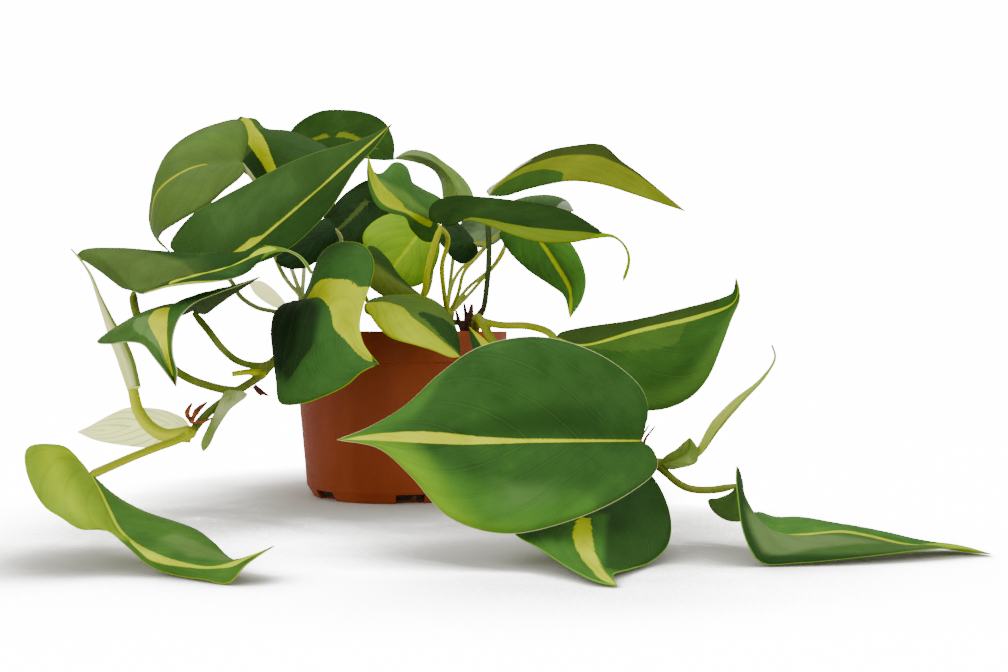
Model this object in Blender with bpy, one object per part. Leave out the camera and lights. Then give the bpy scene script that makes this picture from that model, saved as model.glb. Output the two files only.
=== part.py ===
"""Brasil philodendron in a brown nursery pot.

The plant's leaves and stems were measured by eye from one standpoint in front of the pot.
Every sighting is (across, down, away): across and down in pixels of a picture 1008 by 672,
and away in millimetres along the line of sight, which runs level along +Y.
The origin is the middle of the pot's base, on the surface that it stands on, with +Z up.
"""
import math

import bmesh
import bpy
import numpy as np
from mathutils import Matrix, Vector

MM = 0.001

# Standpoint of the sightings
EYE = np.array((0.0583, -0.660, 0.0868))
PIXELS_PER_SLOPE = 1188.0
PICTURE_CENTRE = (504.0, 336.0)

# Pot, in millimetres
POT_HEIGHT = 89.3
POT_TOP_RADIUS = 60.0
POT_RIM_DEPTH = 15.8
POT_RIM_FOOT_RADIUS = 59.0
POT_BODY_TOP_RADIUS = 56.6
POT_BODY_FOOT_RADIUS = 50.6
POT_BASE_RADIUS = 47.5
POT_CHAMFER_HEIGHT = 6.0
POT_WALL = 1.6
POT_SIDES = 44
DRAIN_SLOTS = 6
DRAIN_SLOT_WIDTH = 15.0
DRAIN_SLOT_HEIGHT = 5.0
DRAIN_FIRST_ANGLE = math.radians(-90.0 + 12.0)

POT_BASE_ROUND = 1.0
POT_LIP_ROUND = 0.6
POT_LIP_INNER_ROUND = 0.4
POT_STACKING_SLOPE = 3.0
DRAIN_CUTTER_DEPTH = 16.0
DRAIN_CUTTER_OFFSET = 3.0

# Soil, in millimetres
SOIL_TOP = 81.0
SOIL_MOUND = 5.0
SOIL_SHOULDER_RADIUS = 40.0
SOIL_SHOULDER_DROP = 1.5
SOIL_FLAT_RADIUS = 20.0
SOIL_SIDES = 32
HOLE_SIDES = 8
HOLE_CUTTER_REACH = 20.0

# Plant, in millimetres
BLADE_THICKNESS = 0.65
GAP = 0.3
SMALLEST_LOBE = 0.08
LARGEST_LOBE = 0.3
STRAIGHT_STALK_STOP = 1.6
PETIOLE_END_RADIUS = 0.6
CROWN_DEPTH = 14.0
STALK_SIDES = 6
STEM_SIDES = 8
STALK_RING_SPACING = 9.0
FEWEST_STALK_RINGS = 5
STEM_RINGS_PER_SIGHTING = 3
FOOT_ROWS = slice(2, 5)

# Curves and meshes
CURVE_POINTS = 240
SAMPLES_PER_SPAN = 24
RIB_START_POINT = 12
NORMAL_SMOOTHING = 3
RING_REFERENCE = (0.3, 1.0, 0.2)
MERGE_DISTANCE = 0.00002
TURN_MERGE_DISTANCE = 0.00001
SOFT_EDGE_ANGLE = 40.0
HARD_EDGE_ANGLE = 30.0

# Roughness of each surface
WAXED_LEAF = 0.38
STEM_SKIN = 0.45
DRIED_FIBRE = 0.6
POT_PLASTIC = 0.45
DAMP_SOIL = 0.95

LEAF_GREEN = (0.055, 0.165, 0.030, 1.0)
LIME_GREEN = (0.260, 0.400, 0.040, 1.0)
STEM_GREEN = (0.210, 0.270, 0.050, 1.0)
PALE_SHEATH = (0.560, 0.600, 0.330, 1.0)
DRIED_BROWN = (0.150, 0.035, 0.010, 1.0)
POT_BROWN = (0.195, 0.052, 0.023, 1.0)
SOIL_BROWN = (0.020, 0.012, 0.008, 1.0)


class Blade:
    """One leaf: sightings along its rib and its two edges, from the stalk to the tip.

    left and right are the edges seen when one stands on the upper face and looks to the tip.
    They leave out the first and last point of the rib, where the three lines meet.
    """

    def __init__(self, name, rib, left, right, bulges=(0.08, 0.08), rows=12, columns=3, colour=LEAF_GREEN,
                 straight_stalk=False):
        self.name = name
        self.rib = rib
        self.left = left
        self.right = right
        self.bulges = bulges
        self.rows = rows
        self.columns = columns
        self.colour = colour
        self.straight_stalk = straight_stalk


BLADES = [
    Blade("leaf_front",
          rib=[(640, 441, 470), (560, 441, 458), (480, 441, 452), (410, 438, 455), (337, 440, 468)],
          left=[(652, 449, 470), (657, 468, 463), (630, 493, 452), (570, 521, 442), (505, 534, 440),
                (450, 518, 444), (410, 475, 452), (380, 449, 458)],
          right=[(645, 427, 472), (648, 410, 474), (640, 387, 475), (600, 355, 476), (540, 337, 476),
                 (480, 347, 474), (440, 374, 472), (405, 406, 468), (370, 427, 466)]),
    Blade("leaf_under_front",
          rib=[(610, 470, 492), (592, 500, 475), (583, 530, 455), (590, 560, 435), (617, 586, 409)],
          left=[(640, 466, 495), (657, 483, 488), (670, 515, 474), (668, 545, 458), (651, 562, 447),
                (631, 569, 434), (613, 575, 421)],
          right=[(585, 462, 495), (550, 475, 488), (522, 500, 472), (512, 530, 455), (540, 549, 440),
                 (572, 570, 425), (598, 582, 412)]),
    Blade("leaf_floor_right",
          rib=[(738, 484, 476), (746, 509, 468), (759, 524, 464), (781, 536, 462), (803, 536, 462),
               (842, 532, 463), (868, 536, 465), (904, 545, 468), (943, 548, 472), (991, 554, 468)],
          left=[(731, 493, 486), (718, 498, 493), (708, 500, 498), (712, 510, 498), (726, 520, 494),
                (742, 521, 489), (758, 512, 483),
                (775, 517, 478), (800, 517, 477), (846, 525, 477), (890, 533, 479), (925, 541, 480),
                (960, 546, 479)],
          right=[(740, 475, 474), (737, 466, 470), (736, 480, 464), (738, 500, 458), (742, 528, 452),
                 (750, 549, 448), (761, 563, 446), (800, 563, 447), (846, 559, 450), (890, 554, 455),
                 (934, 549, 462), (965, 549, 467)], rows=15),
    Blade("leaf_right",
          rib=[(556, 338, 560), (580, 346, 553), (640, 330, 540), (700, 316, 530), (733, 304, 526),
               (739, 291, 524), (736, 278, 523)],
          left=[(560, 333, 565), (580, 328, 568), (640, 319, 562), (690, 307, 550), (722, 298, 538),
                (733, 292, 530)],
          right=[(560, 352, 548), (580, 380, 535), (620, 407, 528), (660, 410, 522), (690, 398, 517),
                 (708, 378, 514), (721, 348, 514), (732, 318, 517), (740, 298, 521)]),
    Blade("leaf_middle",
          rib=[(441, 224, 600), (452, 218, 592), (470, 217, 588), (490, 223, 580), (520, 228, 570),
               (565, 231, 562), (600, 235, 556), (614, 237, 553), (625, 247, 550), (629, 260, 548),
               (623, 282, 546)],
          left=[(430, 219, 603), (430, 208, 608), (438, 200, 611), (455, 196, 612), (481, 197, 610),
                (510, 200, 604), (545, 205, 594), (570, 212, 584), (592, 225, 570), (604, 232, 558),
                (618, 234, 554), (629, 246, 551), (632, 261, 549), (628, 274, 547)],
          right=[(448, 226, 590), (470, 220, 566), (490, 226, 554), (514, 235, 549), (540, 242, 546),
                 (575, 242, 546), (600, 240, 549), (612, 240, 552), (621, 249, 550), (625, 261, 548),
                 (622, 272, 547)],
          rows=17),
    Blade("leaf_top_right",
          rib=[(489, 196, 660), (515, 177, 655), (550, 164, 648), (590, 161, 642), (625, 172, 634),
               (655, 192, 626), (685, 211, 618)],
          left=[(487, 190, 668), (500, 182, 674), (520, 166, 676), (545, 152, 672), (572, 146, 666),
                (602, 145, 658), (620, 160, 650), (642, 176, 640), (665, 195, 630)],
          right=[(505, 196, 650), (525, 190, 640), (545, 185, 632), (570, 181, 626), (600, 184, 620),
                 (630, 193, 616), (660, 203, 614)]),
    Blade("leaf_back_small",
          rib=[(500, 215, 690), (530, 208, 684), (555, 207, 680), (574, 211, 678)],
          left=[(505, 205, 705), (525, 197, 708), (548, 195, 702), (566, 200, 690)],
          right=[(510, 218, 675), (535, 216, 668), (560, 214, 672)], rows=10, columns=2),
    Blade("leaf_hanging",
          rib=[(528, 226, 655), (543, 244, 650), (558, 267, 645), (570, 290, 640), (570, 318, 636)],
          left=[(545, 222, 650), (567, 238, 640), (581, 260, 634), (586, 281, 632), (582, 300, 632)],
          right=[(512, 226, 664), (500, 233, 668), (508, 250, 664), (528, 270, 656), (550, 285, 648),
                 (564, 296, 642)], rows=11),
    Blade("leaf_pale_back",
          rib=[(457, 222, 700), (457, 200, 700), (452, 182, 698), (440, 167, 694), (425, 158, 690),
               (408, 155, 686), (393, 159, 682)],
          left=[(470, 215, 705), (474, 200, 712), (469, 186, 716), (458, 173, 716), (445, 163, 712),
                (430, 153, 702), (410, 150, 692)],
          right=[(446, 214, 705), (443, 197, 714), (441, 183, 716), (436, 173, 712), (426, 166, 702),
                 (408, 161, 688)], rows=12, columns=2, colour=LIME_GREEN),
    Blade("leaf_centre",
          rib=[(437, 223, 622), (416, 214, 612), (395, 206, 604), (381, 196, 600), (374, 183, 602),
               (368, 156, 606)],
          left=[(436, 240, 628), (424, 241, 624), (411, 229, 616), (405, 217, 606), (390, 213, 598),
                (377, 206, 592), (370, 192, 592), (367, 175, 598)],
          right=[(442, 213, 629), (441, 199, 637), (423, 189, 638), (410, 180, 634), (408, 169, 634),
                 (401, 163, 630), (393, 163, 624), (382, 173, 616), (374, 172, 610)], rows=14),
    Blade("leaf_lime_back",
          rib=[(424, 224, 690), (416, 238, 686), (406, 251, 682), (396, 264, 678), (386, 280, 674)],
          left=[(436, 230, 690), (440, 245, 686), (436, 265, 680), (425, 282, 676), (405, 288, 674)],
          right=[(410, 212, 694), (384, 216, 694), (370, 225, 692), (363, 236, 688), (366, 252, 684),
                 (375, 268, 678)], rows=10, columns=2, colour=LIME_GREEN),
    Blade("leaf_top_back",
          rib=[(296, 146, 762), (315, 140, 752), (338, 136, 744), (360, 141, 736), (378, 150, 730),
               (394, 160, 724)],
          left=[(288, 138, 775), (296, 125, 780), (318, 112, 778), (345, 110, 770), (370, 114, 758),
                (386, 124, 746), (394, 142, 734)],
          right=[(310, 155, 745), (335, 156, 728), (360, 158, 716), (380, 160, 716)], rows=12),
    Blade("leaf_top_left",
          rib=[(242, 162, 655), (224, 163, 650), (195, 167, 642), (170, 180, 634), (157, 193, 632),
               (152, 212, 638), (153, 232, 648), (171, 253, 658)],
          left=[(245, 170, 652), (240, 178, 646), (225, 190, 636), (208, 205, 624), (190, 215, 618),
                (170, 227, 620), (161, 234, 630), (160, 243, 646)],
          right=[(246, 150, 664), (248, 135, 672), (240, 120, 676), (215, 124, 672), (187, 136, 664),
                 (168, 152, 656), (158, 170, 651), (155, 190, 652), (152, 210, 656), (153, 228, 658),
                 (160, 242, 659)]),
    Blade("leaf_striped",
          rib=[(247, 118, 700), (254, 135, 694), (262, 155, 690), (272, 177, 688), (284, 205, 688),
               (292, 228, 690)],
          left=[(256, 119, 704), (265, 128, 706), (290, 131, 712), (318, 142, 712), (332, 152, 706),
                (330, 180, 700), (312, 205, 694)],
          right=[(240, 117, 706), (229, 130, 710), (227, 150, 708), (238, 168, 704), (254, 180, 698),
                 (270, 200, 694)], rows=11),
    Blade("leaf_diagonal",
          rib=[(212, 264, 602), (250, 247, 595), (281, 222, 588), (310, 197, 582), (340, 171, 577),
               (368, 146, 572), (392, 124, 568)],
          left=[(195, 262, 612), (180, 255, 618), (170, 246, 620), (190, 217, 618), (210, 204, 614),
                (255, 180, 604), (285, 165, 596), (315, 153, 588), (350, 143, 580), (375, 134, 573)],
          right=[(232, 268, 594), (262, 262, 586), (290, 248, 579), (313, 228, 573), (332, 207, 568),
                 (346, 185, 565), (358, 166, 567), (375, 148, 568)]),
    Blade("leaf_left",
          rib=[(133, 291, 555), (167, 284, 558), (190, 281, 560), (213, 276, 563), (235, 267, 564),
               (252, 256, 561), (268, 250, 558), (285, 250, 556), (301, 258, 555), (313, 275, 554)],
          left=[(122, 288, 562), (105, 275, 575), (88, 263, 584), (77, 256, 588), (83, 250, 590),
                (120, 248, 590), (160, 251, 588), (198, 253, 586), (243, 252, 574), (256, 248, 566),
                (268, 245, 560), (286, 245, 557), (304, 253, 555), (315, 267, 554)],
          right=[(140, 294, 550), (150, 292, 538), (168, 287, 529), (190, 284, 528), (213, 282, 531),
                 (235, 278, 538), (250, 271, 547), (262, 259, 554), (271, 254, 556), (284, 254, 555),
                 (297, 262, 554), (307, 273, 554)],
          rows=17),
    Blade("leaf_folded",
          rib=[(193, 311, 562), (184, 304, 556), (173, 304, 546), (167, 314, 534), (166, 331, 520),
               (168, 352, 510), (176, 387, 500)],
          left=[(203, 315, 567), (222, 302, 579), (243, 288, 584), (260, 277, 584), (243, 284, 573),
                (213, 295, 553), (196, 302, 538), (184, 312, 526), (177, 323, 516), (173, 337, 509),
                (173, 355, 502), (177, 371, 498)],
          right=[(180, 316, 566), (160, 316, 566), (135, 320, 560), (112, 330, 550), (97, 342, 536),
                 (110, 344, 524), (127, 342, 516), (143, 345, 509), (153, 357, 504), (165, 372, 500)],
          bulges=(0.05, 0.06), rows=15),
    Blade("leaf_floor_left",
          rib=[(91, 475, 470), (100, 491, 462), (108, 508, 454), (119, 530, 446), (135, 545, 438),
               (160, 557, 430), (200, 568, 422), (225, 566, 420), (250, 557, 420), (274, 546, 420)],
          left=[(87, 484, 476), (85, 494, 484), (95, 502, 490), (107, 503, 484), (128, 507, 476),
                (154, 515, 468), (195, 529, 456), (213, 542, 446), (234, 560, 434), (255, 556, 426)],
          right=[(81, 464, 470), (66, 447, 462), (50, 444, 456), (27, 448, 446), (26, 470, 440),
                 (43, 505, 434), (62, 518, 432), (80, 529, 432), (106, 530, 436), (125, 545, 434),
                 (150, 566, 430), (175, 575, 426), (205, 580, 418), (230, 583, 413), (243, 568, 415),
                 (260, 555, 418)], rows=17, straight_stalk=True),
    Blade("leaf_rim_left",
          rib=[(303, 305, 600), (312, 299, 590), (322, 297, 580), (334, 308, 568), (346, 330, 555),
               (359, 354, 542), (379, 364, 532)],
          left=[(304, 297, 602), (311, 280, 602), (320, 255, 600), (334, 244, 596), (352, 242, 590),
                (366, 247, 582), (374, 262, 575), (371, 283, 566), (364, 304, 558), (360, 325, 550),
                (363, 342, 542), (369, 352, 537)],
          right=[(298, 303, 597), (284, 304, 594), (275, 312, 590), (271, 330, 582), (273, 355, 572),
                 (276, 380, 562), (280, 403, 554), (301, 404, 546), (325, 396, 539), (347, 385, 534),
                 (362, 372, 532)], rows=15),
    Blade("leaf_rim",
          rib=[(366, 303, 604), (385, 304, 600), (402, 311, 594), (420, 322, 588), (438, 337, 583),
               (460, 357, 578)],
          left=[(372, 299, 610), (385, 296, 616), (402, 295, 618), (422, 296, 616), (437, 302, 610),
                (451, 316, 602), (457, 332, 594), (460, 347, 586)],
          right=[(366, 308, 600), (371, 317, 590), (380, 329, 580), (392, 338, 574), (416, 345, 570),
                 (435, 351, 571), (450, 357, 574)], colour=LIME_GREEN),
    Blade("leaf_shade_high",
          rib=[(380, 190, 722), (362, 206, 714), (342, 226, 704), (318, 246, 695)],
          left=[(388, 205, 722), (384, 228, 716), (365, 245, 706), (340, 252, 698)],
          right=[(370, 180, 728), (350, 190, 722), (330, 210, 712), (316, 232, 702)],
          rows=10, columns=2),
    Blade("leaf_shade_low",
          rib=[(335, 228, 664), (315, 240, 658), (295, 252, 654), (276, 262, 650)],
          left=[(336, 241, 660), (324, 256, 656), (304, 268, 651), (285, 268, 648)],
          right=[(327, 219, 672), (304, 229, 669), (281, 246, 660)], rows=10, columns=2),
    Blade("leaf_olive",
          rib=[(362, 252, 656), (380, 268, 654), (398, 282, 652), (424, 297, 652)],
          left=[(372, 246, 662), (387, 258, 662), (398, 274, 660), (411, 287, 657)],
          right=[(358, 268, 648), (368, 285, 645), (385, 297, 645), (405, 301, 648)],
          rows=10, columns=2),
    Blade("leaf_shade_small",
          rib=[(474, 243, 670), (460, 242, 668), (448, 242, 666), (438, 241, 664)],
          left=[(478, 250, 672), (472, 259, 668), (462, 264, 664), (452, 258, 662), (444, 248, 662)],
          right=[(470, 236, 680), (462, 226, 684), (450, 219, 682), (441, 226, 674)],
          rows=10, columns=2, straight_stalk=True),
    Blade("leaf_grey_back",
          rib=[(500, 228, 712), (485, 231, 710), (470, 233, 708), (455, 236, 706)],
          left=[(502, 238, 704), (486, 247, 698), (468, 245, 697)],
          right=[(497, 215, 720), (478, 213, 724), (462, 222, 716)], rows=8, columns=2),
    Blade("leaf_tip_front",
          rib=[(500, 385, 560), (488, 360, 567), (478, 342, 574), (469, 327, 580)],
          left=[(490, 384, 562), (478, 364, 568), (472, 345, 575)],
          right=[(512, 376, 562), (502, 358, 568), (486, 341, 576)], rows=8, columns=2),
]
BLADE_BY_NAME = {blade.name: blade for blade in BLADES}


class Vine:
    """A rooted stem with its leaf stalks. A stalk is (leaf or None, radius, sightings)."""

    def __init__(self, name, stem, radius, stalks):
        self.name = name
        self.stem = stem
        self.radius = radius
        self.stalks = stalks


VINES = [
    Vine("vine_left",
         [(352, 352, 630), (348, 332, 628), (335, 318, 622), (306, 323, 612), (285, 348, 602),
          (262, 374, 595), (236, 392, 585), (207, 414, 565), (190, 434, 550)], (2.3, 2.0), [
             ("leaf_left", 2.1, [(236, 392, 585), (213, 387, 582), (190, 379, 579), (170, 366, 577),
                                 (150, 343, 575), (138, 318, 570), (134, 303, 563)]),
             ("leaf_folded", 1.8, [(285, 348, 602), (268, 364, 597), (251, 365, 590), (236, 360, 583),
                                   (221, 347, 576), (208, 330, 571)]),
             ("leaf_floor_left", 1.9, [(190, 434, 550), (175, 441, 540), (158, 447, 528),
                                       (137, 455, 514), (116, 464, 498), (100, 471, 482)]),
             ("leaf_rim_left", 1.4, [(330, 319, 621), (318, 313, 613)]),
             (None, 1.8, [(262, 374, 595), (250, 372, 592), (232, 374, 588)]),
             (None, 3.4, [(190, 434, 550), (165, 435, 549), (149, 426, 551), (138, 410, 554),
                          (133, 390, 557)])]),
    Vine("vine_right",
         [(474, 352, 640), (475, 332, 634), (478, 318, 620), (485, 328, 612), (495, 346, 606),
          (512, 372, 595), (535, 405, 570), (566, 434, 535), (610, 455, 503), (655, 463, 489),
          (670, 462, 488), (684, 460, 487)], (2.5, 1.9), [
             ("leaf_right", 1.9, [(478, 320, 622), (500, 325, 604), (528, 326, 584), (546, 331, 572)]),
             ("leaf_floor_right", 1.6, [(655, 463, 489), (685, 487, 483), (710, 490, 480)]),
             ("leaf_front", 1.6, [(610, 455, 503), (628, 452, 494), (640, 447, 482)]),
             ("leaf_under_front", 1.6, [(610, 455, 503), (614, 462, 502)]),
             ("leaf_tip_front", 1.2, [(512, 372, 595), (512, 384, 580), (506, 388, 568)])]),
    Vine("vine_back_left",
         [(310, 352, 668), (310, 332, 668), (308, 312, 666), (302, 296, 664)], (2.2, 1.8), [
             ("leaf_diagonal", 1.3, [(308, 318, 667), (296, 315, 650), (272, 311, 632), (256, 307, 622),
                                     (240, 296, 615), (231, 281, 611)]),
             ("leaf_top_left", 1.3, [(302, 297, 664), (284, 276, 660), (268, 235, 660), (262, 195, 662)]),
             ("leaf_striped", 1.3, [(302, 297, 664), (292, 270, 676), (280, 230, 698), (268, 170, 716)]),
             ("leaf_top_back", 1.3, [(302, 297, 664), (304, 260, 700), (300, 210, 735), (294, 165, 758)]),
             ("leaf_shade_low", 1.2, [(308, 312, 666), (325, 290, 668), (339, 258, 671), (341, 238, 670)])]),
    Vine("vine_centre",
         [(398, 352, 655), (398, 332, 655), (400, 318, 655), (402, 308, 655)], (2.2, 1.9), [
             ("leaf_middle", 1.7, [(400, 318, 655), (416, 306, 640), (424, 292, 625), (428, 268, 614),
                                   (434, 246, 607)]),
             ("leaf_lime_back", 1.3, [(401, 314, 655), (428, 290, 690), (432, 250, 702)]),
             ("leaf_shade_high", 1.3, [(401, 312, 655), (398, 280, 700), (396, 230, 730)]),
             ("leaf_olive", 1.2, [(400, 318, 655), (372, 308, 668), (360, 278, 664)]),
             ("leaf_rim", 1.3, [(400, 320, 655), (385, 318, 635), (368, 312, 618)])]),
    Vine("vine_back_right",
         [(450, 352, 668), (450, 332, 668), (448, 318, 667), (447, 308, 666)], (2.2, 1.9), [
             ("leaf_centre", 1.4, [(447, 312, 666), (444, 292, 656), (442, 266, 650), (448, 240, 644)]),
             ("leaf_pale_back", 1.2, [(447, 312, 667), (450, 285, 690), (454, 250, 703)]),
             ("leaf_hanging", 1.1, [(448, 316, 667), (458, 294, 662), (464, 272, 657), (478, 256, 656),
                                    (492, 240, 668), (511, 225, 679), (524, 222, 667)]),
             ("leaf_shade_small", 1.1, [(447, 312, 667), (452, 285, 678), (462, 268, 690), (480, 252, 694),
                                        (485, 244, 684)]),
             ("leaf_grey_back", 1.1, [(448, 316, 668), (466, 290, 695), (496, 262, 728), (508, 236, 727)]),
             ("leaf_back_small", 1.1, [(448, 316, 668), (478, 284, 700), (504, 250, 700)]),
             ("leaf_top_right", 1.6, [(449, 322, 668), (468, 322, 656), (481, 314, 652), (487, 284, 652),
                                      (489, 249, 655), (488, 220, 658)])]),
]


class Sprig:
    """Tapered strands that hold together as one piece. A strand is (radii, sightings)."""

    def __init__(self, name, strands, colour, sides=6):
        self.name = name
        self.strands = strands
        self.colour = colour
        self.sides = sides


SPRIGS = [
    Sprig("rolled_leaf_left",
          [((3.4, 4.1, 3.9, 2.3, 1.2, 0.7, 0.4),
            [(134, 389, 557), (124, 356, 562), (110, 324, 566), (99, 297, 565), (90, 274, 562),
             (79, 258, 560), (71, 249, 558)])], LIME_GREEN, 8),
    Sprig("rolled_leaf_right",
          [((1.5, 2.0, 2.6, 2.2, 1.2, 0.6, 0.4),
            [(686, 459, 487), (698, 452, 484), (716, 425, 480), (737, 402, 477), (762, 379, 475),
             (775, 358, 473), (772, 345, 472)])], LIME_GREEN, 8),
    Sprig("roots_left_end",
          [((0.8, 1.3, 0.5), [(191, 422, 555), (187, 413, 554), (192, 403, 553)]),
           ((0.8, 1.5, 0.5), [(191, 423, 555), (197, 411, 554), (207, 402, 553)]),
           ((0.8, 0.8, 0.5), [(190, 422, 555), (197, 423, 552), (205, 421, 553), (212, 418, 554)])],
          DRIED_BROWN, 5),
    Sprig("roots_left_node",
          [((1.3, 1.3, 0.4), [(254, 386, 591), (260, 391, 591), (269, 396, 591)]),
           ((1.1, 0.9, 0.4), [(255, 386, 591), (258, 392, 590), (262, 396, 590)])], DRIED_BROWN, 5),
    Sprig("roots_right",
          [((0.8, 0.6, 0.4), [(643, 452, 489), (645, 440, 487), (655, 426, 485)]),
           ((0.8, 0.6, 0.4), [(644, 453, 489), (641, 440, 486), (649, 425, 484)])], DRIED_BROWN, 5),
    Sprig("dried_crown",
          [((2.0, 3.0, 2.2, 0.8), [(462, 349, 645), (464, 334, 645), (469, 321, 643), (472, 304, 642)]),
           ((1.8, 1.3, 0.6), [(464, 332, 645), (459, 322, 645), (456, 310, 645)]),
           ((1.8, 1.2, 0.6), [(466, 328, 645), (466, 316, 644), (464, 303, 643)]),
           ((2.0, 1.4, 0.6), [(466, 326, 645), (476, 317, 642), (483, 306, 641)])], DRIED_BROWN, 6),
]

SHEATHS = [
    Blade("sheath_papery_left",
          rib=[(191, 429, 556), (165, 424, 560), (140, 425, 560), (110, 430, 558), (77, 432, 555)],
          left=[(182, 436, 556), (161, 442, 557), (149, 447, 557), (121, 445, 557), (95, 440, 556)],
          right=[(184, 419, 562), (167, 411, 563), (147, 408, 563), (127, 408, 562), (106, 417, 560),
                 (90, 426, 557)], bulges=(0.12, 0.12), rows=10, columns=2, colour=PALE_SHEATH),
    Blade("sheath_green_left",
          rib=[(237, 391, 582), (221, 413, 563), (210, 434, 562), (203, 452, 562)],
          left=[(247, 394, 582), (229, 411, 565), (217, 429, 563), (209, 446, 562)],
          right=[(226, 391, 577), (217, 408, 566), (209, 425, 563), (201, 444, 562)],
          bulges=(0.1, 0.1), rows=8, columns=2, colour=PALE_SHEATH),
    Blade("sheath_cream",
          rib=[(288, 309, 640), (274, 298, 636), (262, 291, 632), (249, 284, 629)],
          left=[(280, 309, 637), (268, 304, 633), (255, 294, 630)],
          right=[(285, 303, 642), (274, 290, 640), (260, 281, 635)],
          bulges=(0.1, 0.1), rows=6, columns=2, colour=PALE_SHEATH),
    Blade("sheath_right",
          rib=[(662, 463, 486), (676, 459, 484), (688, 451, 483), (690, 437, 482)],
          left=[(664, 457, 485), (676, 449, 483), (685, 441, 482)],
          right=[(667, 469, 485), (681, 468, 482), (697, 462, 480), (697, 447, 480)],
          bulges=(0.1, 0.1), rows=6, columns=2, colour=STEM_GREEN),
]


def sight(point):
    """Place in metres of one (across, down, away) sighting."""
    across, down, away = point
    distance = away * MM
    right = (across - PICTURE_CENTRE[0]) * distance / PIXELS_PER_SLOPE
    below = (down - PICTURE_CENTRE[1]) * distance / PIXELS_PER_SLOPE
    return EYE + np.array((right, distance, -below))


def unit(vectors):
    """Vectors of length one."""
    return vectors / np.maximum(np.linalg.norm(vectors, axis=-1, keepdims=True), 1e-9)


def smooth_curve(points, steps=CURVE_POINTS):
    """Points of a smooth curve through the given points, evenly spaced along it."""
    points = np.asarray(points)
    knots = np.concatenate(([0.0], np.cumsum(np.linalg.norm(np.diff(points, axis=0), axis=1) ** 0.5)))
    slopes = np.gradient(points, knots, axis=0)
    dense = []
    for start in range(len(points) - 1):
        width = knots[start + 1] - knots[start]
        t = np.linspace(0.0, 1.0, SAMPLES_PER_SPAN)[:, None]
        dense.append((2 * t**3 - 3 * t**2 + 1) * points[start] + (t**3 - 2 * t**2 + t) * width * slopes[start]
                     + (3 * t**2 - 2 * t**3) * points[start + 1] + (t**3 - t**2) * width * slopes[start + 1])
    dense = np.concatenate(dense)
    length = np.concatenate(([0.0], np.cumsum(np.linalg.norm(np.diff(dense, axis=0), axis=1))))
    even = np.linspace(0.0, length[-1], steps)
    return np.stack([np.interp(even, length, dense[:, axis]) for axis in range(3)], axis=1)


def at_shares(line, shares):
    """Points of a dense line at the given shares of its length."""
    places = np.asarray(shares) * (len(line) - 1)
    return np.stack([np.interp(places, np.arange(len(line)), line[:, axis]) for axis in range(3)], axis=1)


def half_blade(blade, edge, side, bulge):
    """Grid of points from the rib to one edge: rows from the stalk to the tip, columns outwards.

    The first rows of a half with a lobe fan out from the foot of the rib. The first of them follows the
    edge from the foot to the lobe's hindmost place, and the last one is square to the rib.
    """
    rib = smooth_curve([sight(point) for point in blade.rib])
    margin = smooth_curve([sight(point) for point in [blade.rib[0]] + edge + [blade.rib[-1]]])
    ahead = (margin - rib[0]) @ unit(rib[RIB_START_POINT] - rib[0])
    behind = np.flatnonzero(ahead[:len(margin) // 2] < 0.0)
    lobe = min(LARGEST_LOBE, behind[-1] / len(margin)) if len(behind) else 0.0
    lobe = lobe if lobe > SMALLEST_LOBE else 0.0
    rear = min(np.argmin(ahead[:len(margin) // 2]) / len(margin), lobe)
    fan_rows = int(math.ceil(lobe * blade.rows))
    along_rib = np.concatenate((np.zeros(fan_rows), np.linspace(0.0, 1.0, blade.rows + 1)))
    along_edge = np.concatenate((np.linspace(rear, lobe, fan_rows + 1)[:-1],
                                 np.linspace(lobe, 1.0, blade.rows + 1)))
    rungs = at_shares(rib, along_rib)
    heading = at_shares(unit(np.gradient(rib, axis=0)), along_rib)
    span = at_shares(margin, along_edge) - rungs
    upwards = unit(np.cross(heading, span) * side)
    upwards[:fan_rows + 1] = upwards[fan_rows + 1]
    for _ in range(NORMAL_SMOOTHING):
        upwards[1:-1] = unit(upwards[:-2] + 2.0 * upwards[1:-1] + upwards[2:])
    fanned = np.clip(np.arange(len(span)) / max(fan_rows, 1), 0.0 if fan_rows else 1.0, 1.0)[:, None]
    height = np.linalg.norm(span, axis=1, keepdims=True) * fanned * bulge
    grid = []
    for column in range(blade.columns + 1):
        w = column / blade.columns
        curl = at_shares(margin, [w * rear])[0] - rungs[0] - span[0] * w
        grid.append(rungs + span * w + upwards * height * 4.0 * w * (1.0 - w) + curl * (1.0 - fanned) ** 2)
    return np.stack(grid, axis=1), upwards[fan_rows:]


def material(name, colour, roughness, metallic=0.0):
    """A Principled material."""
    made = bpy.data.materials.new(name)
    made.use_nodes = True
    shader = made.node_tree.nodes["Principled BSDF"]
    shader.inputs["Base Color"].default_value = colour
    shader.inputs["Roughness"].default_value = roughness
    shader.inputs["Metallic"].default_value = metallic
    return made


def add_object(name, mesh_builder, finish):
    """An object in the scene from a bmesh."""
    mesh = bpy.data.meshes.new(name)
    mesh_builder.to_mesh(mesh)
    mesh_builder.free()
    made = bpy.data.objects.new(name, mesh)
    bpy.context.scene.collection.objects.link(made)
    if finish:
        mesh.materials.append(finish)
    return made


def shade_round(thing, angle=SOFT_EDGE_ANGLE):
    """Smooth shading with sharp edges kept."""
    thing.data.shade_smooth()
    thing.data.set_sharp_from_angle(angle=math.radians(angle))


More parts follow.
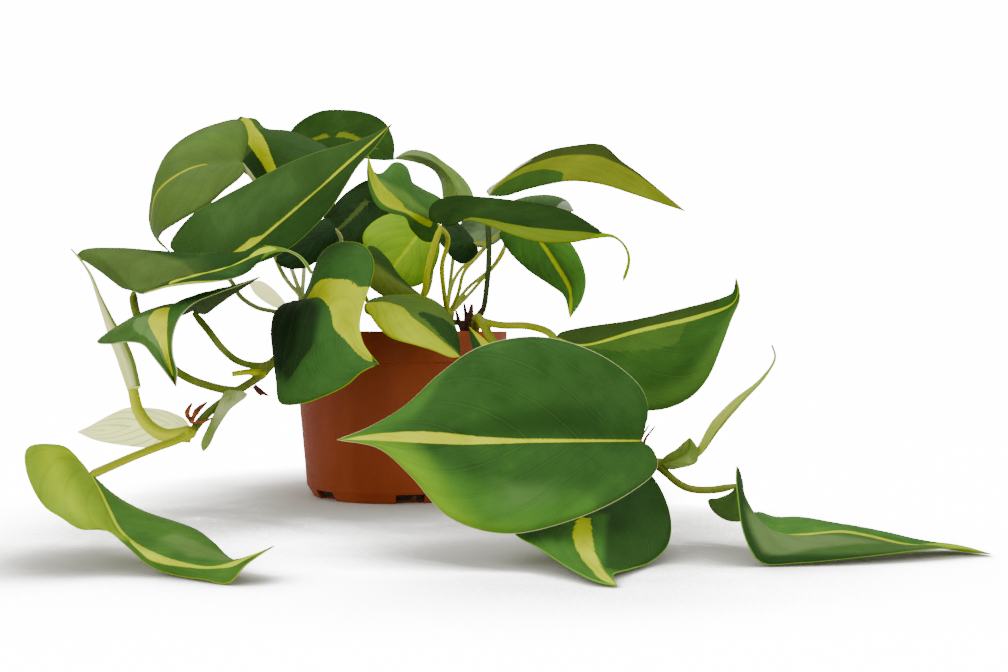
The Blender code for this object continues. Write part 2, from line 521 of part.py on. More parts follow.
def add_blade(blade):
    """A leaf as a thin solid, triangulated before it gets its thickness."""
    builder = bmesh.new()
    for edge, side, bulge in ((blade.left, 1.0, blade.bulges[0]), (blade.right, -1.0, blade.bulges[1])):
        grid, _ = half_blade(blade, edge, side, bulge)
        verts = [[builder.verts.new(point) for point in row] for row in grid]
        for row, after in zip(verts, verts[1:]):
            for column in range(blade.columns):
                corners = (row[column], after[column], after[column + 1], row[column + 1])
                builder.faces.new(corners if side < 0 else corners[::-1])
    bmesh.ops.remove_doubles(builder, verts=builder.verts, dist=MERGE_DISTANCE)
    bmesh.ops.triangulate(builder, faces=builder.faces)
    finish = material(blade.name + "_surface", blade.colour, WAXED_LEAF)
    leaf = add_object(blade.name, builder, finish)
    shell = leaf.modifiers.new("thickness", "SOLIDIFY")
    shell.thickness = BLADE_THICKNESS * MM
    shell.offset = 0.0
    shade_round(leaf)
    return leaf


def stalk_end(blade, before):
    """Where a leaf's stalk stops: just under the foot of the rib, or straight behind it."""
    foot = sight(blade.rib[0])
    if blade.straight_stalk:
        return foot + unit(before - foot) * STRAIGHT_STALK_STOP * MM
    _, left_up = half_blade(blade, blade.left, 1.0, 0.0)
    _, right_up = half_blade(blade, blade.right, -1.0, 0.0)
    up = unit(left_up[FOOT_ROWS].mean(axis=0) + right_up[FOOT_ROWS].mean(axis=0))
    drop = (BLADE_THICKNESS / 2.0 + GAP + PETIOLE_END_RADIUS) * MM
    return foot - up * drop


def ring_frames(path):
    """Two directions across the path at each of its points, turned as little as possible."""
    heading = unit(np.gradient(path, axis=0))
    side = unit(np.cross(heading[0], RING_REFERENCE))
    frames = []
    for direction in heading:
        side = unit(side - direction * np.dot(side, direction))
        frames.append((side, np.cross(direction, side)))
    return frames


def tube(path, radii, sides=STALK_SIDES):
    """Closed tube along a path, with a radius for each point of it."""
    builder = bmesh.new()
    rings = []
    for point, radius, (across, over) in zip(path, radii, ring_frames(path)):
        ring = []
        for step in range(sides):
            turn = 2.0 * math.pi * step / sides
            ring.append(builder.verts.new(point + (across * math.cos(turn) + over * math.sin(turn)) * radius))
        rings.append(ring)
    for ring, after in zip(rings, rings[1:]):
        for step in range(sides):
            following = (step + 1) % sides
            builder.faces.new((ring[step], ring[following], after[following], after[step]))
    builder.faces.new(rings[0][::-1])
    builder.faces.new(rings[-1])
    return builder


def stalk_path(leaf_name, sightings):
    """A stalk's smooth path, which ends under its leaf."""
    points = [sight(point) for point in sightings]
    if leaf_name:
        points.append(stalk_end(BLADE_BY_NAME[leaf_name], points[-1]))
    length = sum(np.linalg.norm(b - a) for a, b in zip(points, points[1:]))
    rings = max(FEWEST_STALK_RINGS, int(length / (STALK_RING_SPACING * MM)) + 2)
    return smooth_curve(points, rings)


def join_by_union(base, pieces):
    """Fuse the pieces into the base, apply the union and remove the pieces."""
    group = bpy.data.collections.new(base.name + "_pieces")
    bpy.context.scene.collection.children.link(group)
    for piece in pieces:
        bpy.context.scene.collection.objects.unlink(piece)
        group.objects.link(piece)
    union = base.modifiers.new("union", "BOOLEAN")
    union.operation = "UNION"
    union.operand_type = "COLLECTION"
    union.collection = group
    union.solver = "EXACT"
    evaluated = base.evaluated_get(bpy.context.evaluated_depsgraph_get())
    fused = bpy.data.meshes.new_from_object(evaluated)
    base.modifiers.clear()
    base.data = fused
    for piece in list(group.objects):
        bpy.data.objects.remove(piece)
    bpy.data.collections.remove(group)


def add_vine(vine):
    """A stem that stands in the soil, with its leaf stalks fused to it."""
    finish = material(vine.name + "_surface", STEM_GREEN, STEM_SKIN)
    rings = STEM_RINGS_PER_SIGHTING * (len(vine.stem) - 1)
    path = smooth_curve([sight(point) for point in vine.stem], rings)
    foot = path[0] - np.array((0.0, 0.0, CROWN_DEPTH * MM))
    path = np.vstack((foot, path))
    radii = np.linspace(vine.radius[0], vine.radius[1], len(path)) * MM
    stem = add_object(vine.name, tube(path, radii, STEM_SIDES), finish)
    pieces = []
    for leaf_name, radius, sightings in vine.stalks:
        stalk = stalk_path(leaf_name, sightings)
        end = PETIOLE_END_RADIUS if leaf_name else radius
        radii = np.full(len(stalk), radius * MM)
        radii[-1] = end * MM
        pieces.append(add_object(vine.name + "_stalk", tube(stalk, radii), finish))
    join_by_union(stem, pieces)
    shade_round(stem)
    return stem


def add_sprig(sprig):
    """Tapered strands as one solid."""
    finish = material(sprig.name + "_surface", sprig.colour, DRIED_FIBRE)
    strands = []
    for radii, sightings in sprig.strands:
        points = [sight(point) for point in sightings]
        rings = 2 * len(points) - 1
        path = smooth_curve(points, rings)
        thickness = np.interp(np.linspace(0.0, 1.0, rings), np.linspace(0.0, 1.0, len(radii)), radii)
        strands.append(add_object(sprig.name, tube(path, thickness * MM, sprig.sides), finish))
    body = strands[0]
    body.name = sprig.name
    if len(strands) > 1:
        join_by_union(body, strands[1:])
    shade_round(body)
    return body


def clear_scene():
    """Remove what the scene holds."""
    for thing in list(bpy.data.objects):
        bpy.data.objects.remove(thing)


def turned(name, outline, sides, finish):
    """A solid turned round +Z from a closed outline of (radius, height) in millimetres."""
    builder = bmesh.new()
    verts = [builder.verts.new((radius * MM, 0.0, height * MM)) for radius, height in outline]
    edges = [builder.edges.new((a, b)) for a, b in zip(verts, verts[1:])]
    bmesh.ops.spin(builder, geom=verts + edges, cent=(0, 0, 0), axis=(0, 0, 1),
                   angle=2.0 * math.pi, steps=sides, use_merge=True)
    bmesh.ops.remove_doubles(builder, verts=builder.verts, dist=TURN_MERGE_DISTANCE)
    bmesh.ops.recalc_face_normals(builder, faces=builder.faces)
    made = add_object(name, builder, finish)
    shade_round(made, HARD_EDGE_ANGLE)
    return made


def cut_away(base, cutters):
    """Take the cutters out of the base and remove them."""
    for cutter in cutters:
        cut = base.modifiers.new("cut", "BOOLEAN")
        cut.operation = "DIFFERENCE"
        cut.object = cutter
        cut.solver = "EXACT"
    evaluated = base.evaluated_get(bpy.context.evaluated_depsgraph_get())
    shaped = bpy.data.meshes.new_from_object(evaluated)
    base.modifiers.clear()
    base.data = shaped
    for cutter in cutters:
        bpy.data.objects.remove(cutter)


def add_pot():
    """Nursery pot: a tapered wall with a deeper rim band, a flat base and drain slots at its edge."""
    wall = POT_WALL
    rim_foot = POT_HEIGHT - POT_RIM_DEPTH
    slope_foot = rim_foot - POT_STACKING_SLOPE / 3.0
    outline = [
        (0.0, 0.0),
        (POT_BASE_RADIUS - POT_BASE_ROUND, 0.0),
        (POT_BASE_RADIUS, POT_BASE_ROUND),
        (POT_BODY_FOOT_RADIUS, POT_CHAMFER_HEIGHT),
        (POT_BODY_TOP_RADIUS, rim_foot),
        (POT_RIM_FOOT_RADIUS, rim_foot),
        (POT_TOP_RADIUS, POT_HEIGHT - POT_LIP_ROUND),
        (POT_TOP_RADIUS - POT_LIP_ROUND, POT_HEIGHT),
        (POT_TOP_RADIUS - wall + POT_LIP_INNER_ROUND, POT_HEIGHT),
        (POT_TOP_RADIUS - wall, POT_HEIGHT - POT_LIP_INNER_ROUND),
        (POT_RIM_FOOT_RADIUS - wall, slope_foot + POT_STACKING_SLOPE),
        (POT_BODY_TOP_RADIUS - wall, slope_foot),
        (POT_BODY_FOOT_RADIUS - wall, POT_CHAMFER_HEIGHT),
        (POT_BASE_RADIUS - wall, wall),
        (0.0, wall),
    ]
    pot = turned("pot", outline, POT_SIDES, material("pot_plastic", POT_BROWN, POT_PLASTIC))
    cutters = []
    for slot in range(DRAIN_SLOTS):
        angle = DRAIN_FIRST_ANGLE + 2.0 * math.pi * slot / DRAIN_SLOTS
        builder = bmesh.new()
        size = Matrix.Diagonal((DRAIN_CUTTER_DEPTH * MM, DRAIN_SLOT_WIDTH * MM, 2.0 * DRAIN_SLOT_HEIGHT * MM, 1.0))
        turn = Matrix.Rotation(angle, 4, "Z")
        outwards = Matrix.Translation(((POT_BASE_RADIUS + DRAIN_CUTTER_OFFSET) * MM, 0.0, 0.0))
        bmesh.ops.create_cube(builder, size=1.0, matrix=turn @ outwards @ size)
        cutters.append(add_object("drain_cutter", builder, None))
    cut_away(pot, cutters)
    shade_round(pot, HARD_EDGE_ANGLE)
    return pot


def add_soil():
    """Potting soil that fills the pot, a little higher in the middle, with a hole for each stem."""
    gap = POT_WALL + GAP
    slope_foot = POT_HEIGHT - POT_RIM_DEPTH - POT_STACKING_SLOPE / 3.0
    outline = [
        (0.0, POT_WALL + GAP),
        (POT_BASE_RADIUS - gap, POT_WALL + GAP),
        (POT_BODY_FOOT_RADIUS - gap, POT_CHAMFER_HEIGHT),
        (POT_BODY_TOP_RADIUS - gap, slope_foot),
        (POT_RIM_FOOT_RADIUS - gap, slope_foot + POT_STACKING_SLOPE),
        (POT_RIM_FOOT_RADIUS - gap, SOIL_TOP - SOIL_MOUND),
        (SOIL_SHOULDER_RADIUS, SOIL_TOP - SOIL_SHOULDER_DROP),
        (SOIL_FLAT_RADIUS, SOIL_TOP),
        (0.0, SOIL_TOP),
    ]
    soil = turned("soil", outline, SOIL_SIDES, material("soil", SOIL_BROWN, DAMP_SOIL))
    cutters = []
    for vine in VINES:
        foot = sight(vine.stem[0])
        radius = (vine.radius[0] + GAP) * MM / math.cos(math.pi / HOLE_SIDES)
        depth = foot[2] - (CROWN_DEPTH + GAP) * MM
        bottom = Vector((foot[0], foot[1], depth))
        builder = bmesh.new()
        height = (SOIL_TOP + HOLE_CUTTER_REACH) * MM - depth
        centre = Matrix.Translation(bottom + Vector((0.0, 0.0, height / 2.0)))
        bmesh.ops.create_cone(builder, cap_ends=True, segments=HOLE_SIDES, radius1=radius, radius2=radius,
                              depth=height, matrix=centre)
        cutters.append(add_object("stem_hole_cutter", builder, None))
    cut_away(soil, cutters)
    shade_round(soil, HARD_EDGE_ANGLE)
    return soil


def build():
    """The whole plant in its pot."""
    clear_scene()
    add_pot()
    add_soil()
    for blade in BLADES:
        add_blade(blade)
    for vine in VINES:
        add_vine(vine)
    for sheath in SHEATHS:
        add_blade(sheath)
    for sprig in SPRIGS:
        add_sprig(sprig)


build()
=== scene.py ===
# %% [markdown]
# # A brasil philodendron in its nursery pot
# The plant is a heartleaf philodendron with yellow-streaked leaves. Its stems trail over the rim of a brown
# plastic pot. The CAD parts are loaded first as a fixed frame. Each cell below then dresses some of them:
# a finer piece takes the place of the plain solid, in the same spot and with the same form.

# %% Load the frame
import math

import bpy
import numpy as np
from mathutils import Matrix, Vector


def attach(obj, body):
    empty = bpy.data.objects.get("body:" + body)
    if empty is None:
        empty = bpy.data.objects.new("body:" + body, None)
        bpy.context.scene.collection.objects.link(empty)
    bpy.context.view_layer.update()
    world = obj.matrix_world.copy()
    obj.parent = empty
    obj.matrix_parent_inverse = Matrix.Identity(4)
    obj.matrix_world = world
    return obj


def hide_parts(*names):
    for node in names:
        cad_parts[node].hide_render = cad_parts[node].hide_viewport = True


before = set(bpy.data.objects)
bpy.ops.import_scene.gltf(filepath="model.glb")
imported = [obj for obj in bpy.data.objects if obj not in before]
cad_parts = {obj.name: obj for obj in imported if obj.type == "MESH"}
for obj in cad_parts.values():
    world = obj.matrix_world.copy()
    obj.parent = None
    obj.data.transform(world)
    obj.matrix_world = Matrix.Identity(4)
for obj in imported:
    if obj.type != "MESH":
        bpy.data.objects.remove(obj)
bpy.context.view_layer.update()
MM = 0.001

# %% [markdown]
# ## The standpoint
# The picture that the plant was measured from is 1008 by 672 pixels. A place on the plant is written down as
# (across, down, away): two pixels, and the distance in millimetres along the line of sight. One function
# turns that into metres, and the camera stands at the same eye point, so the two agree everywhere.

# %% Standpoint and camera
EYE = np.array((0.0583, -0.660, 0.0868))
PIXELS_PER_SLOPE = 1188.0
PICTURE_CENTRE = (504.0, 336.0)
PICTURE_WIDTH = 1008.0
SENSOR_WIDTH = 36.0


def sight(point):
    """Place in metres of one (across, down, away) sighting."""
    across, down, away = point
    distance = away * MM
    right = (across - PICTURE_CENTRE[0]) * distance / PIXELS_PER_SLOPE
    below = (down - PICTURE_CENTRE[1]) * distance / PIXELS_PER_SLOPE
    return EYE + np.array((right, distance, -below))


camera_data = bpy.data.cameras.new("camera")
camera_data.sensor_width = SENSOR_WIDTH
camera_data.lens = SENSOR_WIDTH * PIXELS_PER_SLOPE / PICTURE_WIDTH
camera = bpy.data.objects.new("camera", camera_data)
camera.location = EYE
camera.rotation_euler = (math.radians(90.0), 0.0, 0.0)
bpy.context.scene.collection.objects.link(camera)
bpy.context.scene.camera = camera
print("lens in mm:", round(camera_data.lens, 2))

# %% [markdown]
# ## Helpers for colours and nodes
# Colours are written as sRGB hex values, which is how one reads them off a picture. Blender mixes light in
# linear values, so one function turns them over. Another small function adds a node of any kind to a
# material, sets or joins its inputs and gives back one of its outputs. With it, laid_over does the step
# that every material repeats: it lays one colour over another through a soft mask. A Mix node's two colours
# are its inputs 6 and 7, and its mixed colour is output 2.

# %% Colour and node helpers
SMOOTH = {"interpolation_type": "SMOOTHSTEP"}
COLOURS = {"data_type": "RGBA"}
MULTIPLY, MULTIPLY_ADD = {"operation": "MULTIPLY"}, {"operation": "MULTIPLY_ADD"}


def linear(code):
    """Linear RGBA of an sRGB hex code."""
    parts = [int(code[i:i + 2], 16) / 255.0 for i in (1, 3, 5)]
    return tuple(p / 12.92 if p <= 0.04045 else ((p + 0.055) / 1.055) ** 2.4 for p in parts) + (1.0,)


def set_inputs(tree, node, inputs):
    """Set or link some inputs of a node."""
    for key, value in inputs.items():
        if isinstance(value, bpy.types.NodeSocket):
            tree.links.new(value, node.inputs[key])
        else:
            node.inputs[key].default_value = value


def add_node(tree, kind, inputs, settings=None, output=0):
    """Add a node, set its properties and its inputs, and give back one of its outputs."""
    node = tree.nodes.new("ShaderNode" + kind)
    for name, value in (settings or {}).items():
        setattr(node, name, value)
    set_inputs(tree, node, inputs)
    return node.outputs[output]


def start_material(name, values):
    """A material with a Principled shader whose own sockets hold the values that are the same everywhere."""
    made = bpy.data.materials.new(name)
    made.use_nodes = True
    shader = made.node_tree.nodes["Principled BSDF"]
    set_inputs(made.node_tree, shader, values)
    return made, made.node_tree, shader


def laid_over(tree, colour, top, value, low, high, shares=(0.0, 1.0)):
    """The colour with a top colour over it, whose share goes smoothly from one to the other of two shares
    while a value goes from low to high."""
    mask = add_node(tree, "MapRange", {0: value, 1: low, 2: high, 3: shares[0], 4: shares[1]}, SMOOTH)
    return add_node(tree, "Mix", {0: mask, 6: colour, 7: top}, COLOURS, 2)


print("a mid leaf green in linear light:", [round(value, 3) for value in linear("#375d27")])

# %% [markdown]
# ## Helpers for sheets and tubes
# A leaf is a sheet and a stalk is a tube, and both are a grid of points once it is laid out flat. Blender's
# grid primitive gives the faces. Its vertices are then laid on the measured curves by formula, because a
# waved, three-rail leaf can't be reached by moving and scaling by hand.

# %% Curve helpers
CURVE_STEPS = 240
POINTS_PER_SPAN = 24
TINY = 1e-9


def unit(vectors):
    """Vectors of length one."""
    return vectors / np.maximum(np.linalg.norm(vectors, axis=-1, keepdims=True), TINY)


def smooth_curve(points, steps=CURVE_STEPS):
    """Points of a smooth curve through the given points, evenly spaced along it."""
    points = np.asarray(points)
    knots = np.concatenate(([0.0], np.cumsum(np.linalg.norm(np.diff(points, axis=0), axis=1) ** 0.5)))
    slopes = np.gradient(points, knots, axis=0)
    dense = []
    for start in range(len(points) - 1):
        width = knots[start + 1] - knots[start]
        t = np.linspace(0.0, 1.0, POINTS_PER_SPAN)[:, None]
        dense.append((2 * t**3 - 3 * t**2 + 1) * points[start] + (t**3 - 2 * t**2 + t) * width * slopes[start]
                     + (3 * t**2 - 2 * t**3) * points[start + 1] + (t**3 - t**2) * width * slopes[start + 1])
    dense = np.concatenate(dense)
    length = np.concatenate(([0.0], np.cumsum(np.linalg.norm(np.diff(dense, axis=0), axis=1))))
    even = np.linspace(0.0, length[-1], steps)
    return np.stack([np.interp(even, length, dense[:, axis]) for axis in range(3)], axis=1)


def at_shares(line, shares):
    """Points of a dense line at the given shares of its length."""
    places = np.asarray(shares) * (len(line) - 1)
    return np.stack([np.interp(places, np.arange(len(line)), line[:, axis]) for axis in range(3)], axis=1)


def length_mm(points):
    """Length in mm of a line through points."""
    return sum(np.linalg.norm(b - a) for a, b in zip(points, points[1:])) / MM


quarter = [(10.0 * MM, 0.0, 0.0), (7.07 * MM, 7.07 * MM, 0.0), (0.0, 10.0 * MM, 0.0)]
print("a quarter circle of 15.7 mm through three points in mm:", round(length_mm(smooth_curve(quarter)), 1))

# %% Mesh helpers
def only(thing):
    """Make one object active and the only one selected."""
    bpy.ops.object.select_all(action="DESELECT")
    thing.select_set(True)
    bpy.context.view_layer.objects.active = thing


def laid_grid(name, points):
    """A grid primitive whose vertices are laid on points[row, column]. Faces look along column x row."""
    rows, columns = points.shape[0] - 1, points.shape[1] - 1
    bpy.ops.object.select_all(action="DESELECT")
    bpy.ops.mesh.primitive_grid_add(x_subdivisions=columns, y_subdivisions=rows, size=1.0)
    made = bpy.context.object
    made.name = made.data.name = name
    made.data.vertices.foreach_set("co", points.reshape(-1))
    made.data.update()
    return made


def in_edit_mode(thing, *steps):
    """Run operators on the whole mesh in edit mode. A step is (operator, settings)."""
    only(thing)
    bpy.ops.object.mode_set(mode="EDIT")
    bpy.ops.mesh.select_all(action="SELECT")
    for operator, settings in steps:
        operator(**settings)
    bpy.ops.object.mode_set(mode="OBJECT")


def apply_modifier(thing, kind, settings):
    """Add a modifier and apply it at once."""
    only(thing)
    modifier = thing.modifiers.new(kind.lower(), kind)
    for key, value in settings.items():
        setattr(modifier, key, value)
    bpy.ops.object.modifier_apply(modifier=modifier.name)


def hand_over(piece, node):
    """The piece stands for its CAD node and rides with it."""
    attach(piece, "root")
    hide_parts(node)


# %% [markdown]
# ## The leaves as measured
# Every leaf has three rails: its rib and its two edges. The numbers are sightings, picked along each
# line. left and right are the edges that one sees when one stands on the upper face and looks to the tip.

# %% Leaf sightings
class Blade:
    """One leaf: sightings along its rib and its two edges, from the stalk to the tip.

    bulges: how far each half swells, as a share of its width. rows: how many the CAD leaf has.
    straight_stalk: the stalk runs into the blade instead of ending under it.
    """

    def __init__(self, name, rib, left, right, bulges=(0.08, 0.08), rows=12, straight_stalk=False):
        self.name, self.rib, self.left, self.right = name, rib, left, right
        self.bulges, self.rows, self.straight_stalk = bulges, rows, straight_stalk


BLADES = [
    Blade("leaf_front",
          rib=[(640, 441, 470), (560, 441, 458), (480, 441, 452), (410, 438, 455), (337, 440, 468)],
          left=[(652, 449, 470), (657, 468, 463), (630, 493, 452), (570, 521, 442), (505, 534, 440),
                (450, 518, 444), (410, 475, 452), (380, 449, 458)],
          right=[(645, 427, 472), (648, 410, 474), (640, 387, 475), (600, 355, 476), (540, 337, 476),
                 (480, 347, 474), (440, 374, 472), (405, 406, 468), (370, 427, 466)]),
    Blade("leaf_under_front",
          rib=[(610, 470, 492), (592, 500, 475), (583, 530, 455), (590, 560, 435), (617, 586, 409)],
          left=[(640, 466, 495), (657, 483, 488), (670, 515, 474), (668, 545, 458), (651, 562, 447),
                (631, 569, 434), (613, 575, 421)],
          right=[(585, 462, 495), (550, 475, 488), (522, 500, 472), (512, 530, 455), (540, 549, 440),
                 (572, 570, 425), (598, 582, 412)]),
    Blade("leaf_floor_right",
          rib=[(738, 484, 476), (746, 509, 468), (759, 524, 464), (781, 536, 462), (803, 536, 462),
               (842, 532, 463), (868, 536, 465), (904, 545, 468), (943, 548, 472), (991, 554, 468)],
          left=[(731, 493, 486), (718, 498, 493), (708, 500, 498), (712, 510, 498), (726, 520, 494),
                (742, 521, 489), (758, 512, 483),
                (775, 517, 478), (800, 517, 477), (846, 525, 477), (890, 533, 479), (925, 541, 480),
                (960, 546, 479)],
          right=[(740, 475, 474), (737, 466, 470), (736, 480, 464), (738, 500, 458), (742, 528, 452),
                 (750, 549, 448), (761, 563, 446), (800, 563, 447), (846, 559, 450), (890, 554, 455),
                 (934, 549, 462), (965, 549, 467)], rows=15),
    Blade("leaf_right",
          rib=[(556, 338, 560), (580, 346, 553), (640, 330, 540), (700, 316, 530), (733, 304, 526),
               (739, 291, 524), (736, 278, 523)],
          left=[(560, 333, 565), (580, 328, 568), (640, 319, 562), (690, 307, 550), (722, 298, 538),
                (733, 292, 530)],
          right=[(560, 352, 548), (580, 380, 535), (620, 407, 528), (660, 410, 522), (690, 398, 517),
                 (708, 378, 514), (721, 348, 514), (732, 318, 517), (740, 298, 521)]),
    Blade("leaf_middle",
          rib=[(441, 224, 600), (452, 218, 592), (470, 217, 588), (490, 223, 580), (520, 228, 570),
               (565, 231, 562), (600, 235, 556), (614, 237, 553), (625, 247, 550), (629, 260, 548),
               (623, 282, 546)],
          left=[(430, 219, 603), (430, 208, 608), (438, 200, 611), (455, 196, 612), (481, 197, 610),
                (510, 200, 604), (545, 205, 594), (570, 212, 584), (592, 225, 570), (604, 232, 558),
                (618, 234, 554), (629, 246, 551), (632, 261, 549), (628, 274, 547)],
          right=[(448, 226, 590), (470, 220, 566), (490, 226, 554), (514, 235, 549), (540, 242, 546),
                 (575, 242, 546), (600, 240, 549), (612, 240, 552), (621, 249, 550), (625, 261, 548),
                 (622, 272, 547)],
          rows=17),
    Blade("leaf_top_right",
          rib=[(489, 196, 660), (515, 177, 655), (550, 164, 648), (590, 161, 642), (625, 172, 634),
               (655, 192, 626), (685, 211, 618)],
          left=[(487, 190, 668), (500, 182, 674), (520, 166, 676), (545, 152, 672), (572, 146, 666),
                (602, 145, 658), (620, 160, 650), (642, 176, 640), (665, 195, 630)],
          right=[(505, 196, 650), (525, 190, 640), (545, 185, 632), (570, 181, 626), (600, 184, 620),
                 (630, 193, 616), (660, 203, 614)]),
    Blade("leaf_back_small",
          rib=[(500, 215, 690), (530, 208, 684), (555, 207, 680), (574, 211, 678)],
          left=[(505, 205, 705), (525, 197, 708), (548, 195, 702), (566, 200, 690)],
          right=[(510, 218, 675), (535, 216, 668), (560, 214, 672)], rows=10),
    Blade("leaf_hanging",
          rib=[(528, 226, 655), (543, 244, 650), (558, 267, 645), (570, 290, 640), (570, 318, 636)],
          left=[(545, 222, 650), (567, 238, 640), (581, 260, 634), (586, 281, 632), (582, 300, 632)],
          right=[(512, 226, 664), (500, 233, 668), (508, 250, 664), (528, 270, 656), (550, 285, 648),
                 (564, 296, 642)], rows=11),
    Blade("leaf_pale_back",
          rib=[(457, 222, 700), (457, 200, 700), (452, 182, 698), (440, 167, 694), (425, 158, 690),
               (408, 155, 686), (393, 159, 682)],
          left=[(470, 215, 705), (474, 200, 712), (469, 186, 716), (458, 173, 716), (445, 163, 712),
                (430, 153, 702), (410, 150, 692)],
          right=[(446, 214, 705), (443, 197, 714), (441, 183, 716), (436, 173, 712), (426, 166, 702),
                 (408, 161, 688)], rows=12),
    Blade("leaf_centre",
          rib=[(437, 223, 622), (416, 214, 612), (395, 206, 604), (381, 196, 600), (374, 183, 602),
               (368, 156, 606)],
          left=[(436, 240, 628), (424, 241, 624), (411, 229, 616), (405, 217, 606), (390, 213, 598),
                (377, 206, 592), (370, 192, 592), (367, 175, 598)],
          right=[(442, 213, 629), (441, 199, 637), (423, 189, 638), (410, 180, 634), (408, 169, 634),
                 (401, 163, 630), (393, 163, 624), (382, 173, 616), (374, 172, 610)], rows=14),
    Blade("leaf_lime_back",
          rib=[(424, 224, 690), (416, 238, 686), (406, 251, 682), (396, 264, 678), (386, 280, 674)],
          left=[(436, 230, 690), (440, 245, 686), (436, 265, 680), (425, 282, 676), (405, 288, 674)],
          right=[(410, 212, 694), (384, 216, 694), (370, 225, 692), (363, 236, 688), (366, 252, 684),
                 (375, 268, 678)], rows=10),
    Blade("leaf_top_back",
          rib=[(296, 146, 762), (315, 140, 752), (338, 136, 744), (360, 141, 736), (378, 150, 730),
               (394, 160, 724)],
          left=[(288, 138, 775), (296, 125, 780), (318, 112, 778), (345, 110, 770), (370, 114, 758),
                (386, 124, 746), (394, 142, 734)],
          right=[(310, 155, 745), (335, 156, 728), (360, 158, 716), (380, 160, 716)], rows=12),
    Blade("leaf_top_left",
          rib=[(242, 162, 655), (224, 163, 650), (195, 167, 642), (170, 180, 634), (157, 193, 632),
               (152, 212, 638), (153, 232, 648), (171, 253, 658)],
          left=[(245, 170, 652), (240, 178, 646), (225, 190, 636), (208, 205, 624), (190, 215, 618),
                (170, 227, 620), (161, 234, 630), (160, 243, 646)],
          right=[(246, 150, 664), (248, 135, 672), (240, 120, 676), (215, 124, 672), (187, 136, 664),
                 (168, 152, 656), (158, 170, 651), (155, 190, 652), (152, 210, 656), (153, 228, 658),
                 (160, 242, 659)]),
    Blade("leaf_striped",
          rib=[(247, 118, 700), (254, 135, 694), (262, 155, 690), (272, 177, 688), (284, 205, 688),
               (292, 228, 690)],
          left=[(256, 119, 704), (265, 128, 706), (290, 131, 712), (318, 142, 712), (332, 152, 706),
                (330, 180, 700), (312, 205, 694)],
          right=[(240, 117, 706), (229, 130, 710), (227, 150, 708), (238, 168, 704), (254, 180, 698),
                 (270, 200, 694)], rows=11),
    Blade("leaf_diagonal",
          rib=[(212, 264, 602), (250, 247, 595), (281, 222, 588), (310, 197, 582), (340, 171, 577),
               (368, 146, 572), (392, 124, 568)],
          left=[(195, 262, 612), (180, 255, 618), (170, 246, 620), (190, 217, 618), (210, 204, 614),
                (255, 180, 604), (285, 165, 596), (315, 153, 588), (350, 143, 580), (375, 134, 573)],
          right=[(232, 268, 594), (262, 262, 586), (290, 248, 579), (313, 228, 573), (332, 207, 568),
                 (346, 185, 565), (358, 166, 567), (375, 148, 568)]),
    Blade("leaf_left",
          rib=[(133, 291, 555), (167, 284, 558), (190, 281, 560), (213, 276, 563), (235, 267, 564),
               (252, 256, 561), (268, 250, 558), (285, 250, 556), (301, 258, 555), (313, 275, 554)],
          left=[(122, 288, 562), (105, 275, 575), (88, 263, 584), (77, 256, 588), (83, 250, 590),
                (120, 248, 590), (160, 251, 588), (198, 253, 586), (243, 252, 574), (256, 248, 566),
                (268, 245, 560), (286, 245, 557), (304, 253, 555), (315, 267, 554)],
          right=[(140, 294, 550), (150, 292, 538), (168, 287, 529), (190, 284, 528), (213, 282, 531),
                 (235, 278, 538), (250, 271, 547), (262, 259, 554), (271, 254, 556), (284, 254, 555),
                 (297, 262, 554), (307, 273, 554)],
          rows=17),
    Blade("leaf_folded",
          rib=[(193, 311, 562), (184, 304, 556), (173, 304, 546), (167, 314, 534), (166, 331, 520),
               (168, 352, 510), (176, 387, 500)],
          left=[(203, 315, 567), (222, 302, 579), (243, 288, 584), (260, 277, 584), (243, 284, 573),
                (213, 295, 553), (196, 302, 538), (184, 312, 526), (177, 323, 516), (173, 337, 509),
                (173, 355, 502), (177, 371, 498)],
          right=[(180, 316, 566), (160, 316, 566), (135, 320, 560), (112, 330, 550), (97, 342, 536),
                 (110, 344, 524), (127, 342, 516), (143, 345, 509), (153, 357, 504), (165, 372, 500)],
          bulges=(0.05, 0.06), rows=15),
    Blade("leaf_floor_left",
          rib=[(91, 475, 470), (100, 491, 462), (108, 508, 454), (119, 530, 446), (135, 545, 438),
               (160, 557, 430), (200, 568, 422), (225, 566, 420), (250, 557, 420), (274, 546, 420)],
          left=[(87, 484, 476), (85, 494, 484), (95, 502, 490), (107, 503, 484), (128, 507, 476),
                (154, 515, 468), (195, 529, 456), (213, 542, 446), (234, 560, 434), (255, 556, 426)],
          right=[(81, 464, 470), (66, 447, 462), (50, 444, 456), (27, 448, 446), (26, 470, 440),
                 (43, 505, 434), (62, 518, 432), (80, 529, 432), (106, 530, 436), (125, 545, 434),
                 (150, 566, 430), (175, 575, 426), (205, 580, 418), (230, 583, 413), (243, 568, 415),
                 (260, 555, 418)], rows=17, straight_stalk=True),
    Blade("leaf_rim_left",
          rib=[(303, 305, 600), (312, 299, 590), (322, 297, 580), (334, 308, 568), (346, 330, 555),
               (359, 354, 542), (379, 364, 532)],
          left=[(304, 297, 602), (311, 280, 602), (320, 255, 600), (334, 244, 596), (352, 242, 590),
                (366, 247, 582), (374, 262, 575), (371, 283, 566), (364, 304, 558), (360, 325, 550),
                (363, 342, 542), (369, 352, 537)],
          right=[(298, 303, 597), (284, 304, 594), (275, 312, 590), (271, 330, 582), (273, 355, 572),
                 (276, 380, 562), (280, 403, 554), (301, 404, 546), (325, 396, 539), (347, 385, 534),
                 (362, 372, 532)], rows=15),
    Blade("leaf_rim",
          rib=[(366, 303, 604), (385, 304, 600), (402, 311, 594), (420, 322, 588), (438, 337, 583),
               (460, 357, 578)],
          left=[(372, 299, 610), (385, 296, 616), (402, 295, 618), (422, 296, 616), (437, 302, 610),
